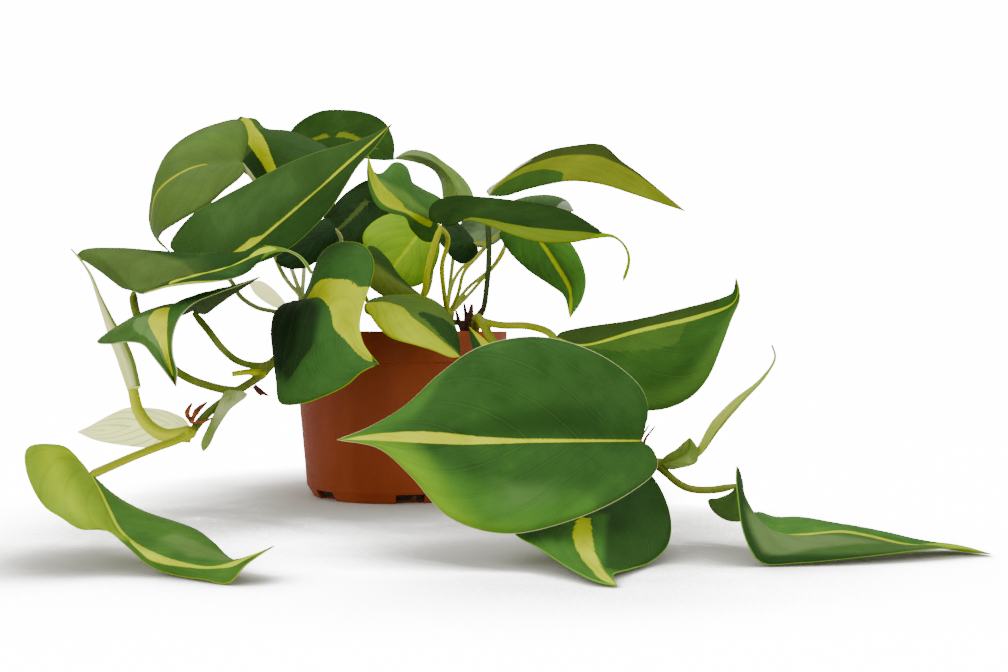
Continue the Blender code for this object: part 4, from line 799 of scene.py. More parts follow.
def leaf_material(name, look, greens, rough, strength=1.0):
    """Waxed leaf tissue: wandering greens, zones, faint veins and a fine edge line."""
    made, tree, shader = start_material(
        name, {"Roughness": rough, "IOR": WAX_IOR, "Specular IOR Level": look.wax})
    veins = add_node(tree, "UVMap", {}, {"uv_map": "veins"})
    place = add_node(tree, "TexCoord", {}, None, "Object")
    across, reach, phase = [add_node(tree, "Attribute", {}, {"attribute_name": kept}, "Fac")
                            for kept in ("across", "reach", "phase")]
    strokes = add_node(tree, "VectorMath", {0: veins, 1: STREAKS_PER_MM}, MULTIPLY)
    streak = add_node(tree, "TexNoise", {"Vector": strokes, "Scale": 1.0, "Detail": 4.0, "Roughness": 0.6})
    patch = add_node(tree, "TexNoise",
                     {"Vector": place, "Scale": PATCHES_PER_METRE, "Detail": 3.0, "Roughness": 0.55})
    patch = add_node(tree, "Math", {0: patch, 1: 1.0 - STREAK_SHARE}, MULTIPLY)
    wander = add_node(tree, "Math", {0: streak, 1: STREAK_SHARE, 2: patch}, MULTIPLY_ADD)
    colour = laid_over(tree, linear(greens[0]), linear(greens[1]), wander, 0.36, 0.52)
    colour = laid_over(tree, colour, linear(greens[2]), wander, 0.52, 0.70)
    colour = add_zones(tree, colour, look.zones, wander, streak, strength)
    # painted shade: the furrow's darker tint stands for shade in the sunk vein, and draws green vein lines on
    # the sheaths
    near = add_node(tree, "Math", {0: phase, 1: 0.5}, {"operation": "PINGPONG"})
    furrow = add_node(tree, "MapRange", {0: near, 1: 0.0, 2: FURROW_HALF_WIDTH, 3: 1.0, 4: 0.0}, SMOOTH)
    shadow = add_node(tree, "Math", {0: furrow, 1: FURROW_SHADE * look.veins * strength}, MULTIPLY)
    sunk = add_node(tree, "Mix", {0: shadow, 6: linear("#ffffff"), 7: linear(FURROW_TINT)}, COLOURS, 2)
    colour = add_node(tree, "Mix", {0: 1.0, 6: colour, 7: sunk}, {**COLOURS, "blend_type": "MULTIPLY"}, 2)
    colour = laid_over(
        tree, colour, linear(VEIN_TINT), near, 0.0, VEIN_HALF_WIDTH, (VEIN_LIGHT * strength, 0.0))
    if look.margin:
        inside = add_node(tree, "Math", {0: across}, {"operation": "ABSOLUTE"})
        inside = add_node(tree, "Math", {0: 1.0, 1: inside}, {"operation": "SUBTRACT"})
        inside = add_node(tree, "Math", {0: inside, 1: reach}, MULTIPLY)
        colour = laid_over(tree, colour, linear(look.margin), inside, 0.1, 0.38, (0.8, 0.0))
    grain = add_node(tree, "TexNoise", {"Vector": place, "Scale": GRAINS_PER_METRE, "Detail": 2.0})
    grain = add_node(tree, "Math", {0: grain, 1: 0.12}, MULTIPLY)
    height = add_node(tree, "Math", {0: furrow, 1: -0.5, 2: grain}, MULTIPLY_ADD)
    bump = add_node(tree, "Bump", {"Strength": 0.35, "Distance": 0.0002, "Height": height})
    set_inputs(tree, shader, {"Base Color": colour, "Normal": bump})
    if look.shine:
        set_inputs(tree, shader, {"Emission Color": colour, "Emission Strength": look.shine})
    return made


# %% [markdown]
# ## All the leaves and sheaths
# Each sheet gets its thickness from Solidify, half to each side of the measured surface, as in the CAD.
# The new lower shell takes the second material slot, which is the underside.

# %% Make the leaves
BLADE_THICKNESS = 0.50
LEAF_MERGE_DISTANCE = 0.00003
UNDERSIDE_ROUGHER = 0.14
UNDERSIDE_MARKS = 0.45


def add_leaf(blade):
    """A finished leaf or sheath that replaces its CAD node."""
    look = LOOKS[blade.name]
    leaf = leaf_mesh(blade, look, blade.name + "_blade")
    in_edit_mode(leaf, (bpy.ops.mesh.remove_doubles, {"threshold": LEAF_MERGE_DISTANCE}))
    leaf.data.materials.append(
        leaf_material(blade.name + "_waxed_upper_side", look, look.greens, look.rough))
    paler = (look.under, look.under, look.greens[2])
    leaf.data.materials.append(leaf_material(
        blade.name + "_matt_underside", look, paler, look.rough + UNDERSIDE_ROUGHER, UNDERSIDE_MARKS))
    apply_modifier(leaf, "SOLIDIFY", {"thickness": BLADE_THICKNESS * MM, "offset": 0.0, "use_rim": True,
                                      "material_offset": 1, "material_offset_rim": 0})
    leaf.data.shade_smooth()
    hand_over(leaf, blade.name)
    return leaf


leaves = [add_leaf(blade) for blade in BLADES + SHEATHS]
print("leaf faces:", sum(len(leaf.data.polygons) for leaf in leaves))

# %% [markdown]
# ## The stems as measured
# Five stems stand in the soil. Each has its leaf stalks grown out of it, and the first place of a stalk lies
# on its stem. A stalk is (leaf or None, radius in mm, sightings), and a stem has a radius at each end.

# %% Stem sightings
class Vine:
    """A rooted stem with its leaf stalks."""

    def __init__(self, name, stem, radius, stalks):
        self.name, self.stem, self.radius, self.stalks = name, stem, radius, stalks


VINES = [
    Vine("vine_left",
         [(352, 352, 630), (348, 332, 628), (335, 318, 622), (306, 323, 612), (285, 348, 602),
          (262, 374, 595), (236, 392, 585), (207, 414, 565), (190, 434, 550)], (2.3, 2.0), [
             ("leaf_left", 2.1, [(236, 392, 585), (213, 387, 582), (190, 379, 579), (170, 366, 577),
                                 (150, 343, 575), (138, 318, 570), (134, 303, 563)]),
             ("leaf_folded", 1.8, [(285, 348, 602), (268, 364, 597), (251, 365, 590), (236, 360, 583),
                                   (221, 347, 576), (208, 330, 571)]),
             ("leaf_floor_left", 1.9, [(190, 434, 550), (175, 441, 540), (158, 447, 528),
                                       (137, 455, 514), (116, 464, 498), (100, 471, 482)]),
             ("leaf_rim_left", 1.4, [(330, 319, 621), (318, 313, 613)]),
             (None, 1.8, [(262, 374, 595), (250, 372, 592), (232, 374, 588)]),
             (None, 3.4, [(190, 434, 550), (165, 435, 549), (149, 426, 551), (138, 410, 554),
                          (133, 390, 557)])]),
    Vine("vine_right",
         [(474, 352, 640), (475, 332, 634), (478, 318, 620), (485, 328, 612), (495, 346, 606),
          (512, 372, 595), (535, 405, 570), (566, 434, 535), (610, 455, 503), (655, 463, 489),
          (670, 462, 488), (684, 460, 487)], (2.5, 1.9), [
             ("leaf_right", 1.9, [(478, 320, 622), (500, 325, 604), (528, 326, 584), (546, 331, 572)]),
             ("leaf_floor_right", 1.6, [(655, 463, 489), (685, 487, 483), (710, 490, 480)]),
             ("leaf_front", 1.6, [(610, 455, 503), (628, 452, 494), (640, 447, 482)]),
             ("leaf_under_front", 1.6, [(610, 455, 503), (614, 462, 502)]),
             ("leaf_tip_front", 1.2, [(512, 372, 595), (512, 384, 580), (506, 388, 568)])]),
    Vine("vine_back_left",
         [(310, 352, 668), (310, 332, 668), (308, 312, 666), (302, 296, 664)], (2.2, 1.8), [
             ("leaf_diagonal", 1.3, [(308, 318, 667), (296, 315, 650), (272, 311, 632), (256, 307, 622),
                                     (240, 296, 615), (231, 281, 611)]),
             ("leaf_top_left", 1.3, [(302, 297, 664), (284, 276, 660), (268, 235, 660), (262, 195, 662)]),
             ("leaf_striped", 1.3, [(302, 297, 664), (292, 270, 676), (280, 230, 698), (268, 170, 716)]),
             ("leaf_top_back", 1.3, [(302, 297, 664), (304, 260, 700), (300, 210, 735), (294, 165, 758)]),
             ("leaf_shade_low", 1.2, [(308, 312, 666), (325, 290, 668), (339, 258, 671), (341, 238, 670)])]),
    Vine("vine_centre",
         [(398, 352, 655), (398, 332, 655), (400, 318, 655), (402, 308, 655)], (2.2, 1.9), [
             ("leaf_middle", 1.7, [(400, 318, 655), (416, 306, 640), (424, 292, 625), (428, 268, 614),
                                   (434, 246, 607)]),
             ("leaf_lime_back", 1.3, [(401, 314, 655), (428, 290, 690), (432, 250, 702)]),
             ("leaf_shade_high", 1.3, [(401, 312, 655), (398, 280, 700), (396, 230, 730)]),
             ("leaf_olive", 1.2, [(400, 318, 655), (372, 308, 668), (360, 278, 664)]),
             ("leaf_rim", 1.3, [(400, 320, 655), (385, 318, 635), (368, 312, 618)])]),
    Vine("vine_back_right",
         [(450, 352, 668), (450, 332, 668), (448, 318, 667), (447, 308, 666)], (2.2, 1.9), [
             ("leaf_centre", 1.4, [(447, 312, 666), (444, 292, 656), (442, 266, 650), (448, 240, 644)]),
             ("leaf_pale_back", 1.2, [(447, 312, 667), (450, 285, 690), (454, 250, 703)]),
             ("leaf_hanging", 1.1, [(448, 316, 667), (458, 294, 662), (464, 272, 657), (478, 256, 656),
                                    (492, 240, 668), (511, 225, 679), (524, 222, 667)]),
             ("leaf_shade_small", 1.1, [(447, 312, 667), (452, 285, 678), (462, 268, 690), (480, 252, 694),
                                        (485, 244, 684)]),
             ("leaf_grey_back", 1.1, [(448, 316, 668), (466, 290, 695), (496, 262, 728), (508, 236, 727)]),
             ("leaf_back_small", 1.1, [(448, 316, 668), (478, 284, 700), (504, 250, 700)]),
             ("leaf_top_right", 1.6, [(449, 322, 668), (468, 322, 656), (481, 314, 652), (487, 284, 652),
                                      (489, 249, 655), (488, 220, 658)])]),
]
print("stems:", len(VINES), "stalks:", sum(len(vine.stalks) for vine in VINES))

# %% [markdown]
# ## Stems and leaf stalks
# Each stem and stalk is a tube round a smooth path. The stem swells a little at each joint, and a stalk is
# thicker at its foot, where it clasps the stem, and narrower under the leaf. The tubes of one vine are
# joined, then Blender's voxel Remesh fuses them into one skin, which gives soft forks with no seams.

# %% Tubes and fused skins
TUBE_SIDES = 12
ODD_DIRECTION = (0.3, 1.0, 0.2)
TUBE_MERGE_DISTANCE = 0.00001


def ring_frames(path):
    """Two directions across the path at each of its points, turned as little as possible."""
    heading = unit(np.gradient(path, axis=0))
    side = unit(np.cross(heading[0], ODD_DIRECTION))
    frames = []
    for direction in heading:
        side = unit(side - direction * np.dot(side, direction))
        frames.append((side, np.cross(direction, side)))
    return frames


def tube(name, path, radii):
    """Closed tube along a path, made from a grid whose first and last rows shrink to a point."""
    turn = np.linspace(0.0, 2.0 * np.pi, TUBE_SIDES + 1)[:, None]
    rows = [np.repeat(path[:1], TUBE_SIDES + 1, axis=0)]
    for point, radius, (across, over) in zip(path, radii, ring_frames(path)):
        rows.append(point + (across * np.cos(turn) + over * np.sin(turn)) * radius)
    rows.append(np.repeat(path[-1:], TUBE_SIDES + 1, axis=0))
    made = laid_grid(name, np.stack(rows))
    in_edit_mode(made, (bpy.ops.mesh.remove_doubles, {"threshold": TUBE_MERGE_DISTANCE}))
    return made


def joined(pieces, name):
    """One object from several."""
    bpy.ops.object.select_all(action="DESELECT")
    for piece in pieces:
        piece.select_set(True)
    bpy.context.view_layer.objects.active = pieces[0]
    bpy.ops.object.join()
    pieces[0].name = pieces[0].data.name = name
    return pieces[0]


def fused(piece, voxel, smoothing):
    """One skin over all that the piece holds."""
    apply_modifier(piece, "REMESH", {"mode": "VOXEL", "voxel_size": voxel * MM, "use_smooth_shade": True})
    apply_modifier(piece, "SMOOTH", {"factor": 0.5, "iterations": smoothing})
    piece.data.shade_smooth()
    return piece


# %% Leaf stalks
RING_SPACING = 1.5
FEWEST_RINGS = 12
STALK_FOOT_SWELL = 1.25
STALK_FOOT_LENGTH = 4.0
STALK_TIP_SHARE = 0.62
STALK_TIP_LENGTH = 5.0
BARE_STALK_TAPER = 0.25
FOOT_ROWS = slice(2, 5)


def blade_foot(blade):
    """Foot of a leaf's rib and the direction of its upper face there."""
    ups = [coarse_upwards(*rib_and_margin(blade, edge), side, blade.rows)[FOOT_ROWS].mean(axis=0)
           for edge, side in ((blade.left, 1.0), (blade.right, -1.0))]
    return sight(blade.rib[0]), unit(sum(ups))


def stalk_line(leaf_name, radius, sightings):
    """Path of one leaf stalk from inside its stem to the foot of its leaf, and its radius along it."""
    points = [sight(point) for point in sightings]
    if leaf_name:
        blade = BLADE_BY_NAME[leaf_name]
        foot, up = blade_foot(blade)
        points.append(foot if blade.straight_stalk else foot - up * 0.5 * radius * MM)
    length = length_mm(points)
    rings = max(FEWEST_RINGS, int(length / RING_SPACING))
    share = np.linspace(0.0, 1.0, rings)
    swell = 1.0 + (STALK_FOOT_SWELL - 1.0) * np.exp(-(share * length / STALK_FOOT_LENGTH) ** 2)
    near_tip = np.clip((share * length - length + STALK_TIP_LENGTH) / STALK_TIP_LENGTH, 0.0, 1.0)
    taper = 1.0 - (1.0 - STALK_TIP_SHARE) * near_tip if leaf_name else 1.0 - BARE_STALK_TAPER * share
    return smooth_curve(points, rings), radius * MM * swell * taper


first_stalk, first_radii = stalk_line(*VINES[0].stalks[0])
print("first leaf stalk in mm: length", round(length_mm(first_stalk), 1), "radius at its foot",
      round(first_radii[0] / MM, 1))

# %% Stems with their stalks
CROWN_DEPTH = 14.0
FEWEST_STEM_RINGS = 20
JOINT_SWELL = 1.18
JOINT_LENGTH = 2.6
GRAFT_VOXEL = 0.42
GRAFT_SMOOTHING = 4
TONE_FALL_PER_MM = 2.0
STALK_TONES = {"vine_left_bare": 0.95, "leaf_floor_left": 0.75, "leaf_left": 0.15, "leaf_rim_left": 0.2,
               "vine_right": 0.3, "leaf_right": 0.4, "leaf_diagonal": -0.5,
               "vine_centre": 0.8, "leaf_middle": 0.8, "leaf_lime_back": 0.6, "leaf_rim": 0.5,
               "leaf_olive": 0.4, "vine_back_right": 0.6, "leaf_centre": 0.6, "leaf_pale_back": 0.5,
               "leaf_shade_small": 0.6, "leaf_hanging": 0.5, "leaf_back_small": 0.5,
               "leaf_grey_back": 0.5, "leaf_top_right": -1.0}


def keep_tones(grown, paths, tones):
    """Keep on each vertex the tone of the stem or stalk that it lies on, blended at the forks.

    A tone of 1 is the palest yellow-green, 0 the stem's own green and -1 the darkest.
    """
    places = np.empty((len(grown.data.vertices), 3))
    grown.data.vertices.foreach_get("co", places.reshape(-1))
    total, weights = np.zeros(len(places)), np.full(len(places), 1e-12)
    for path, tone in zip(paths, tones):
        away = np.full(len(places), np.inf)
        for point in path:
            away = np.minimum(away, np.linalg.norm(places - point, axis=1))
        weight = np.exp(-(away / MM) * TONE_FALL_PER_MM)
        total, weights = total + weight * tone, weights + weight
    store(grown.data, "tone", total / weights)


def add_vine(vine):
    """A stem with all its stalks as one grown piece."""
    points = [sight(point) for point in vine.stem]
    path = smooth_curve(points, max(FEWEST_STEM_RINGS, int(length_mm(points) / RING_SPACING)))
    path = np.vstack((path[0] - np.array((0.0, 0.0, CROWN_DEPTH * MM)), path))
    radii = np.linspace(vine.radius[0], vine.radius[1], len(path))
    for _, _, sightings in vine.stalks:
        away = np.linalg.norm(path - sight(sightings[0]), axis=1) / MM
        radii *= 1.0 + (JOINT_SWELL - 1.0) * np.exp(-(away / JOINT_LENGTH) ** 2)
    stalks = [stalk_line(*stalk) for stalk in vine.stalks]
    pieces = [tube("stem", path, radii * MM)] + [tube("stalk", *stalk) for stalk in stalks]
    grown = fused(joined(pieces, vine.name + "_stem"), GRAFT_VOXEL, GRAFT_SMOOTHING)
    names = [vine.name] + [stalk[0] or vine.name + "_bare" for stalk in vine.stalks]
    keep_tones(grown, [path] + [line for line, _ in stalks], [STALK_TONES.get(name, 0.0) for name in names])
    return grown


# %% [markdown]
# ## Stem skin
# Young philodendron stems are juicy and satin, green with a yellowish side, with small pale flecks. Towards
# the crown they are more yellow, and one stalk is nearly black-green: each vertex's tone says how much.
# Noise in object space does the wandering, and a second, finer one makes the flecks. The side that faces
# up has a tint of its own.

# %% Stem material
STEM_PATCHES_PER_METRE = 70.0  # a patch is 14 mm wide
FLECKS_PER_METRE = 1300.0  # a fleck is 0.8 mm wide
PALE_STALK, DARK_STALK, FLECK_TINT = "#dbe400", "#2c4014", "#c9d08a"


def stem_material(name, tints):
    """Juicy stem skin: wandering greens with small pale flecks."""
    made, tree, shader = start_material(name, {"Roughness": 0.38, "IOR": 1.42, "Specular IOR Level": 0.12})
    place = add_node(tree, "TexCoord", {}, None, "Object")
    wander = add_node(tree, "TexNoise",
                      {"Vector": place, "Scale": STEM_PATCHES_PER_METRE, "Detail": 3.0, "Roughness": 0.55})
    tone = add_node(tree, "Attribute", {}, {"attribute_name": "tone"}, "Fac")
    facing = add_node(tree, "SeparateXYZ", {0: add_node(tree, "NewGeometry", {}, None, "Normal")}, None, "Z")
    flecks = add_node(tree, "TexNoise", {"Vector": place, "Scale": FLECKS_PER_METRE, "Detail": 2.0})
    colour = laid_over(tree, linear(tints[0]), linear(tints[1]), wander, 0.35, 0.52)
    colour = laid_over(tree, colour, linear(tints[2]), wander, 0.50, 0.68)
    colour = laid_over(tree, colour, linear(PALE_STALK), tone, 0.0, 1.0)
    colour = laid_over(tree, colour, linear(DARK_STALK), tone, -1.0, 0.0, (1.0, 0.0))
    colour = laid_over(tree, colour, linear(tints[3]), facing, -0.2, 0.9, (0.0, 0.6))
    colour = laid_over(tree, colour, linear(FLECK_TINT), flecks, 0.62, 0.72, (0.0, 0.3))
    bump = add_node(tree, "Bump", {"Strength": 0.3, "Distance": 0.0002, "Height": flecks})
    set_inputs(tree, shader, {"Base Color": colour, "Normal": bump})
    return made


# %% Make the stems
STEM_TINTS = {
    "vine_left": ("#4b611c", "#667a26", "#828f38", "#5f7826"),
    "vine_right": ("#606c20", "#7f8b2c", "#9aa03e", "#78882c"),
    "vine_back_left": ("#93a84a", "#b3bf6c", "#cfd694", "#b4c07c"),
    "vine_centre": ("#7a8a44", "#93a158", "#aeb972", "#8c9c50"),
    "vine_back_right": ("#66783a", "#839450", "#9fae68", "#788a44"),
}
for vine in VINES:
    grown = add_vine(vine)
    grown.data.materials.clear()
    grown.data.materials.append(stem_material(vine.name + "_juicy_skin", STEM_TINTS[vine.name]))
    hand_over(grown, vine.name)
    print(vine.name, "faces:", len(grown.data.polygons))

# %% [markdown]
# ## Rolled new leaves
# A new philodendron leaf comes out rolled up like a cigar. It is a sheet wound one and a third times round,
# thick at its foot and drawn out to a thread, so it is laid as a grid on a tightening spiral and given
# thickness. The tissue is so young that light comes through it, and a faint emission of its own colour
# stands for that.

# %% Rolled leaf sightings
class Sprig:
    """Tapered strands that hold together as one piece. A strand is (radii, sightings)."""

    def __init__(self, name, strands):
        self.name, self.strands = name, strands


ROLLS = [
    Sprig("rolled_leaf_left",
          [((3.4, 4.1, 3.9, 2.3, 1.2, 0.7, 0.4),
            [(134, 389, 557), (124, 356, 562), (110, 324, 566), (99, 297, 565), (90, 274, 562),
             (79, 258, 560), (71, 249, 558)])]),
    Sprig("rolled_leaf_right",
          [((1.5, 2.0, 2.6, 2.2, 1.2, 0.6, 0.4),
            [(686, 459, 487), (698, 452, 484), (716, 425, 480), (737, 402, 477), (762, 379, 475),
             (775, 358, 473), (772, 345, 472)])]),
]
print("rolled leaves:", len(ROLLS))

# %% Rolled leaves
ROLL_ROWS = 70
ROLL_POINTS_ROUND = 33
ROLL_TURNS = 1.35
ROLL_START = 0.6 * np.pi
ROLL_CORE = 0.74
ROLL_THICKNESS = 0.35


def rolled_leaf(sprig):
    """A sheet wound round a path, with its free edge on the outside."""
    radii, sightings = sprig.strands[0]
    path = smooth_curve([sight(point) for point in sightings], ROLL_ROWS)
    share = np.linspace(0.0, 1.0, ROLL_ROWS)
    radius = np.interp(share, np.linspace(0.0, 1.0, len(radii)), radii)
    turn = np.linspace(0.0, 2.0 * np.pi * ROLL_TURNS, ROLL_POINTS_ROUND)
    tighten = np.interp(turn, (0.0, turn[-1]), (ROLL_CORE, 1.0))
    rings = []
    for point, size, (across, over) in zip(path, radius, ring_frames(path)):
        ring = across * np.cos(turn + ROLL_START)[:, None] + over * np.sin(turn + ROLL_START)[:, None]
        rings.append(point + ring * (tighten * (size - 0.5 * ROLL_THICKNESS) * MM)[:, None])
    roll = laid_grid(sprig.name + "_sheet", np.stack(rings))
    store(roll.data, "wound", np.repeat((turn / turn[-1])[None], ROLL_ROWS, axis=0))
    store(roll.data, "along", np.repeat(share[:, None], len(turn), axis=1))
    apply_modifier(roll, "SOLIDIFY", {"thickness": ROLL_THICKNESS * MM, "offset": 0.0})
    roll.data.shade_smooth()
    return roll


# %% Rolled leaf material
ROLL_STREAKS = (26.0, 3.0)  # round the roll, and along it
ROLL_LOOKS = {"rolled_leaf_left": (("#eef09a", "#d8e078", "#56741c", "#94a838"), 0.45),
              "rolled_leaf_right": (("#b5c450", "#93aa38", "#4a7420", "#8fae28"), 0.1)}


def rolled_material(name, tints, shine):
    """New leaf tissue: pale, streaked along its length, greener at the free edge and towards the tip."""
    made, tree, shader = start_material(
        name, {"Roughness": 0.36, "IOR": WAX_IOR, "Specular IOR Level": 0.1, "Emission Strength": shine})
    wound, along = [
        add_node(tree, "Attribute", {}, {"attribute_name": kept}, "Fac") for kept in ("wound", "along")]
    fine = add_node(tree, "CombineXYZ", {0: add_node(tree, "Math", {0: wound, 1: ROLL_STREAKS[0]}, MULTIPLY),
                                         1: add_node(tree, "Math", {0: along, 1: ROLL_STREAKS[1]}, MULTIPLY)})
    streak = add_node(tree, "TexNoise", {"Vector": fine, "Scale": 1.0, "Detail": 3.0})
    edge = add_node(tree, "Math", {0: streak, 1: 0.12, 2: wound}, MULTIPLY_ADD)
    colour = laid_over(tree, linear(tints[0]), linear(tints[1]), streak, 0.4, 0.62)
    colour = laid_over(tree, colour, linear(tints[2]), edge, 0.82, 0.92, (0.0, 0.9))
    colour = laid_over(tree, colour, linear(tints[3]), along, 0.6, 1.0)
    bump = add_node(tree, "Bump", {"Strength": 0.25, "Distance": 0.0002, "Height": streak})
    set_inputs(tree, shader, {"Base Color": colour, "Emission Color": colour, "Normal": bump})
    return made


for sprig in ROLLS:
    roll = rolled_leaf(sprig)
    roll.data.materials.append(rolled_material(sprig.name + "_new_tissue", *ROLL_LOOKS[sprig.name]))
    hand_over(roll, sprig.name)
    print(sprig.name, "faces:", len(roll.data.polygons))

# %% [markdown]
# ## Dried roots and crown
# Roots that grow from a stem in dry air soon dry up to short brown prongs, and the old leaf sheaths in the
# middle of the pot do the same. Each clump is a few tapered tubes, fused by a voxel Remesh and roughened by
# a Displace with a cloud texture, because such fibre has no smooth line anywhere. It is quite matt: one
# noise mixes its light and dark brown and deepens its furrows.

# %% Root and crown sightings
DRIED = [
    Sprig("roots_left_end",
          [((0.8, 1.3, 0.5), [(191, 422, 555), (187, 413, 554), (192, 403, 553)]),
           ((0.8, 1.5, 0.5), [(191, 423, 555), (197, 411, 554), (207, 402, 553)]),
           ((0.8, 0.8, 0.5), [(190, 422, 555), (197, 423, 552), (205, 421, 553), (212, 418, 554)])]),
    Sprig("roots_left_node",
          [((1.3, 1.3, 0.4), [(254, 386, 591), (260, 391, 591), (269, 396, 591)]),
           ((1.1, 0.9, 0.4), [(255, 386, 591), (258, 392, 590), (262, 396, 590)])]),
    Sprig("roots_right",
          [((0.8, 0.6, 0.4), [(643, 452, 489), (645, 440, 487), (655, 426, 485)]),
           ((0.8, 0.6, 0.4), [(644, 453, 489), (641, 440, 486), (649, 425, 484)])]),
    Sprig("dried_crown",
          [((2.0, 3.0, 2.2, 0.8), [(462, 349, 645), (464, 334, 645), (469, 321, 643), (472, 304, 642)]),
           ((1.8, 1.3, 0.6), [(464, 332, 645), (459, 322, 645), (456, 310, 645)]),
           ((1.8, 1.2, 0.6), [(466, 328, 645), (466, 316, 644), (464, 303, 643)]),
           ((2.0, 1.4, 0.6), [(466, 326, 645), (476, 317, 642), (483, 306, 641)])]),
]
print("dried clumps:", len(DRIED))

# %% Dried roots and crown
STRAND_RINGS = 24
ROOT_VOXEL, CROWN_VOXEL = 0.22, 0.4
FIBRE_SMOOTHING = 2
BARK_LUMP = 1.6
BARK_ROUGHNESS = 0.35
FURROWS_PER_METRE = 450.0  # a furrow is 2.2 mm wide
CORK_TINTS = {"roots_left_end": ("#54200a", "#b25a1c"), "roots_left_node": ("#34120a", "#6b2a12"),
              "roots_right": ("#7a3410", "#c46a2c"), "dried_crown": ("#280e06", "#5a2410")}


def dried_material(name, tints):
    """Dead, corky plant fibre: red-brown with darker furrows, no gloss."""
    made, tree, shader = start_material(name, {"Roughness": 0.85})
    place = add_node(tree, "TexCoord", {}, None, "Object")
    noise = add_node(tree, "TexNoise",
                     {"Vector": place, "Scale": FURROWS_PER_METRE, "Detail": 5.0, "Roughness": 0.65})
    colour = laid_over(tree, linear(tints[0]), linear(tints[1]), noise, 0.35, 0.65)
    bump = add_node(tree, "Bump", {"Strength": 0.8, "Distance": 0.0004, "Height": noise})
    set_inputs(tree, shader, {"Base Color": colour, "Normal": bump})
    return made


def dried_sprig(sprig, voxel):
    """Strands fused into one rough skin."""
    pieces = []
    for radii, sightings in sprig.strands:
        path = smooth_curve([sight(point) for point in sightings], STRAND_RINGS)
        thickness = np.interp(np.linspace(0.0, 1.0, STRAND_RINGS), np.linspace(0.0, 1.0, len(radii)), radii)
        pieces.append(tube("strand", path, thickness * MM))
    grown = fused(joined(pieces, sprig.name + "_fibre"), voxel, FIBRE_SMOOTHING)
    texture = bpy.data.textures.new(sprig.name + "_cork", "CLOUDS")
    texture.noise_scale = BARK_LUMP * MM
    apply_modifier(grown, "DISPLACE", {"texture": texture, "strength": BARK_ROUGHNESS * MM, "mid_level": 0.6})
    return grown


for sprig in DRIED:
    fibre = dried_sprig(sprig, CROWN_VOXEL if sprig.name == "dried_crown" else ROOT_VOXEL)
    fibre.data.materials.clear()
    fibre.data.materials.append(dried_material(sprig.name + "_cork", CORK_TINTS[sprig.name]))
    hand_over(fibre, sprig.name)
    print(sprig.name, "faces:", len(fibre.data.polygons))

# %% [markdown]
# ## Pot
# A nursery pot is injection-moulded polypropylene: a thin tapered cup with a deeper band at the rim for
# stacking, and drain slots where the wall meets the base. By hand one draws one ring and then extrudes and
# scales it up the outside, over the rim and down the inside, which is what this cell does. The mould rounds
# each corner by less than a millimetre, so the corners are small steps of the same outline. Boolean cutters
# open the slots.

# %% Turned and cut solids
POT_HEIGHT = 89.3
POT_TOP_RADIUS = 60.0
POT_RIM_DEPTH = 15.8
POT_RIM_FOOT_RADIUS = 59.0
POT_BODY_TOP_RADIUS = 56.6
POT_BODY_FOOT_RADIUS = 50.6
POT_BASE_RADIUS = 47.5
POT_CHAMFER_HEIGHT = 6.0
POT_WALL = 1.6
POT_FACETS = 128
POT_EDGE_ANGLE = math.radians(32.0)
DRAIN_SLOTS = 6
DRAIN_SLOT_WIDTH = 15.0
DRAIN_SLOT_HEIGHT = 5.0
DRAIN_CUTTER_DEPTH = 16.0
DRAIN_CUTTER_RADIUS = POT_BASE_RADIUS + 3.0
DRAIN_FIRST_ANGLE = math.radians(-90.0 + 12.0)


def ring_solid(name, outline, facets):
    """A closed solid: one ring, extruded and scaled through an outline of (radius, height) in mm."""
    radius, height = outline[0]
    bpy.ops.object.select_all(action="DESELECT")
    bpy.ops.mesh.primitive_circle_add(vertices=facets, radius=radius * MM, fill_type="NOTHING",
                                      location=(0.0, 0.0, height * MM))
    made = bpy.context.object
    made.name = made.data.name = name
    bpy.ops.object.transform_apply(location=True, rotation=True, scale=True)
    bpy.ops.object.mode_set(mode="EDIT")
    bpy.ops.mesh.select_all(action="SELECT")
    for wider, higher in outline[1:]:
        bpy.ops.mesh.extrude_edges_move(
            TRANSFORM_OT_translate={"value": (0.0, 0.0, (higher - height) * MM)})
        share = wider / radius
        bpy.ops.transform.resize(value=(share, share, 1.0), center_override=(0.0, 0.0, 0.0))
        radius, height = wider, higher
    bpy.ops.mesh.edge_face_add()
    bpy.ops.mesh.select_all(action="DESELECT")
    bpy.ops.mesh.select_non_manifold(extend=False)
    bpy.ops.mesh.edge_face_add()
    bpy.ops.mesh.select_all(action="SELECT")
    bpy.ops.mesh.normals_make_consistent(inside=False)
    bpy.ops.object.mode_set(mode="OBJECT")
    return made


def cut_by_box(thing, angle, radius, size):
    """Cut a box out of the thing, at an angle round +Z."""
    spot = (radius * MM * math.cos(angle), radius * MM * math.sin(angle), 0.0)
    bpy.ops.object.select_all(action="DESELECT")
    bpy.ops.mesh.primitive_cube_add(
        size=1.0, location=spot, rotation=(0.0, 0.0, angle), scale=[side * MM for side in size])
    cutter = bpy.context.object
    apply_modifier(thing, "BOOLEAN", {"operation": "DIFFERENCE", "solver": "EXACT", "object": cutter})
    bpy.data.objects.remove(cutter)


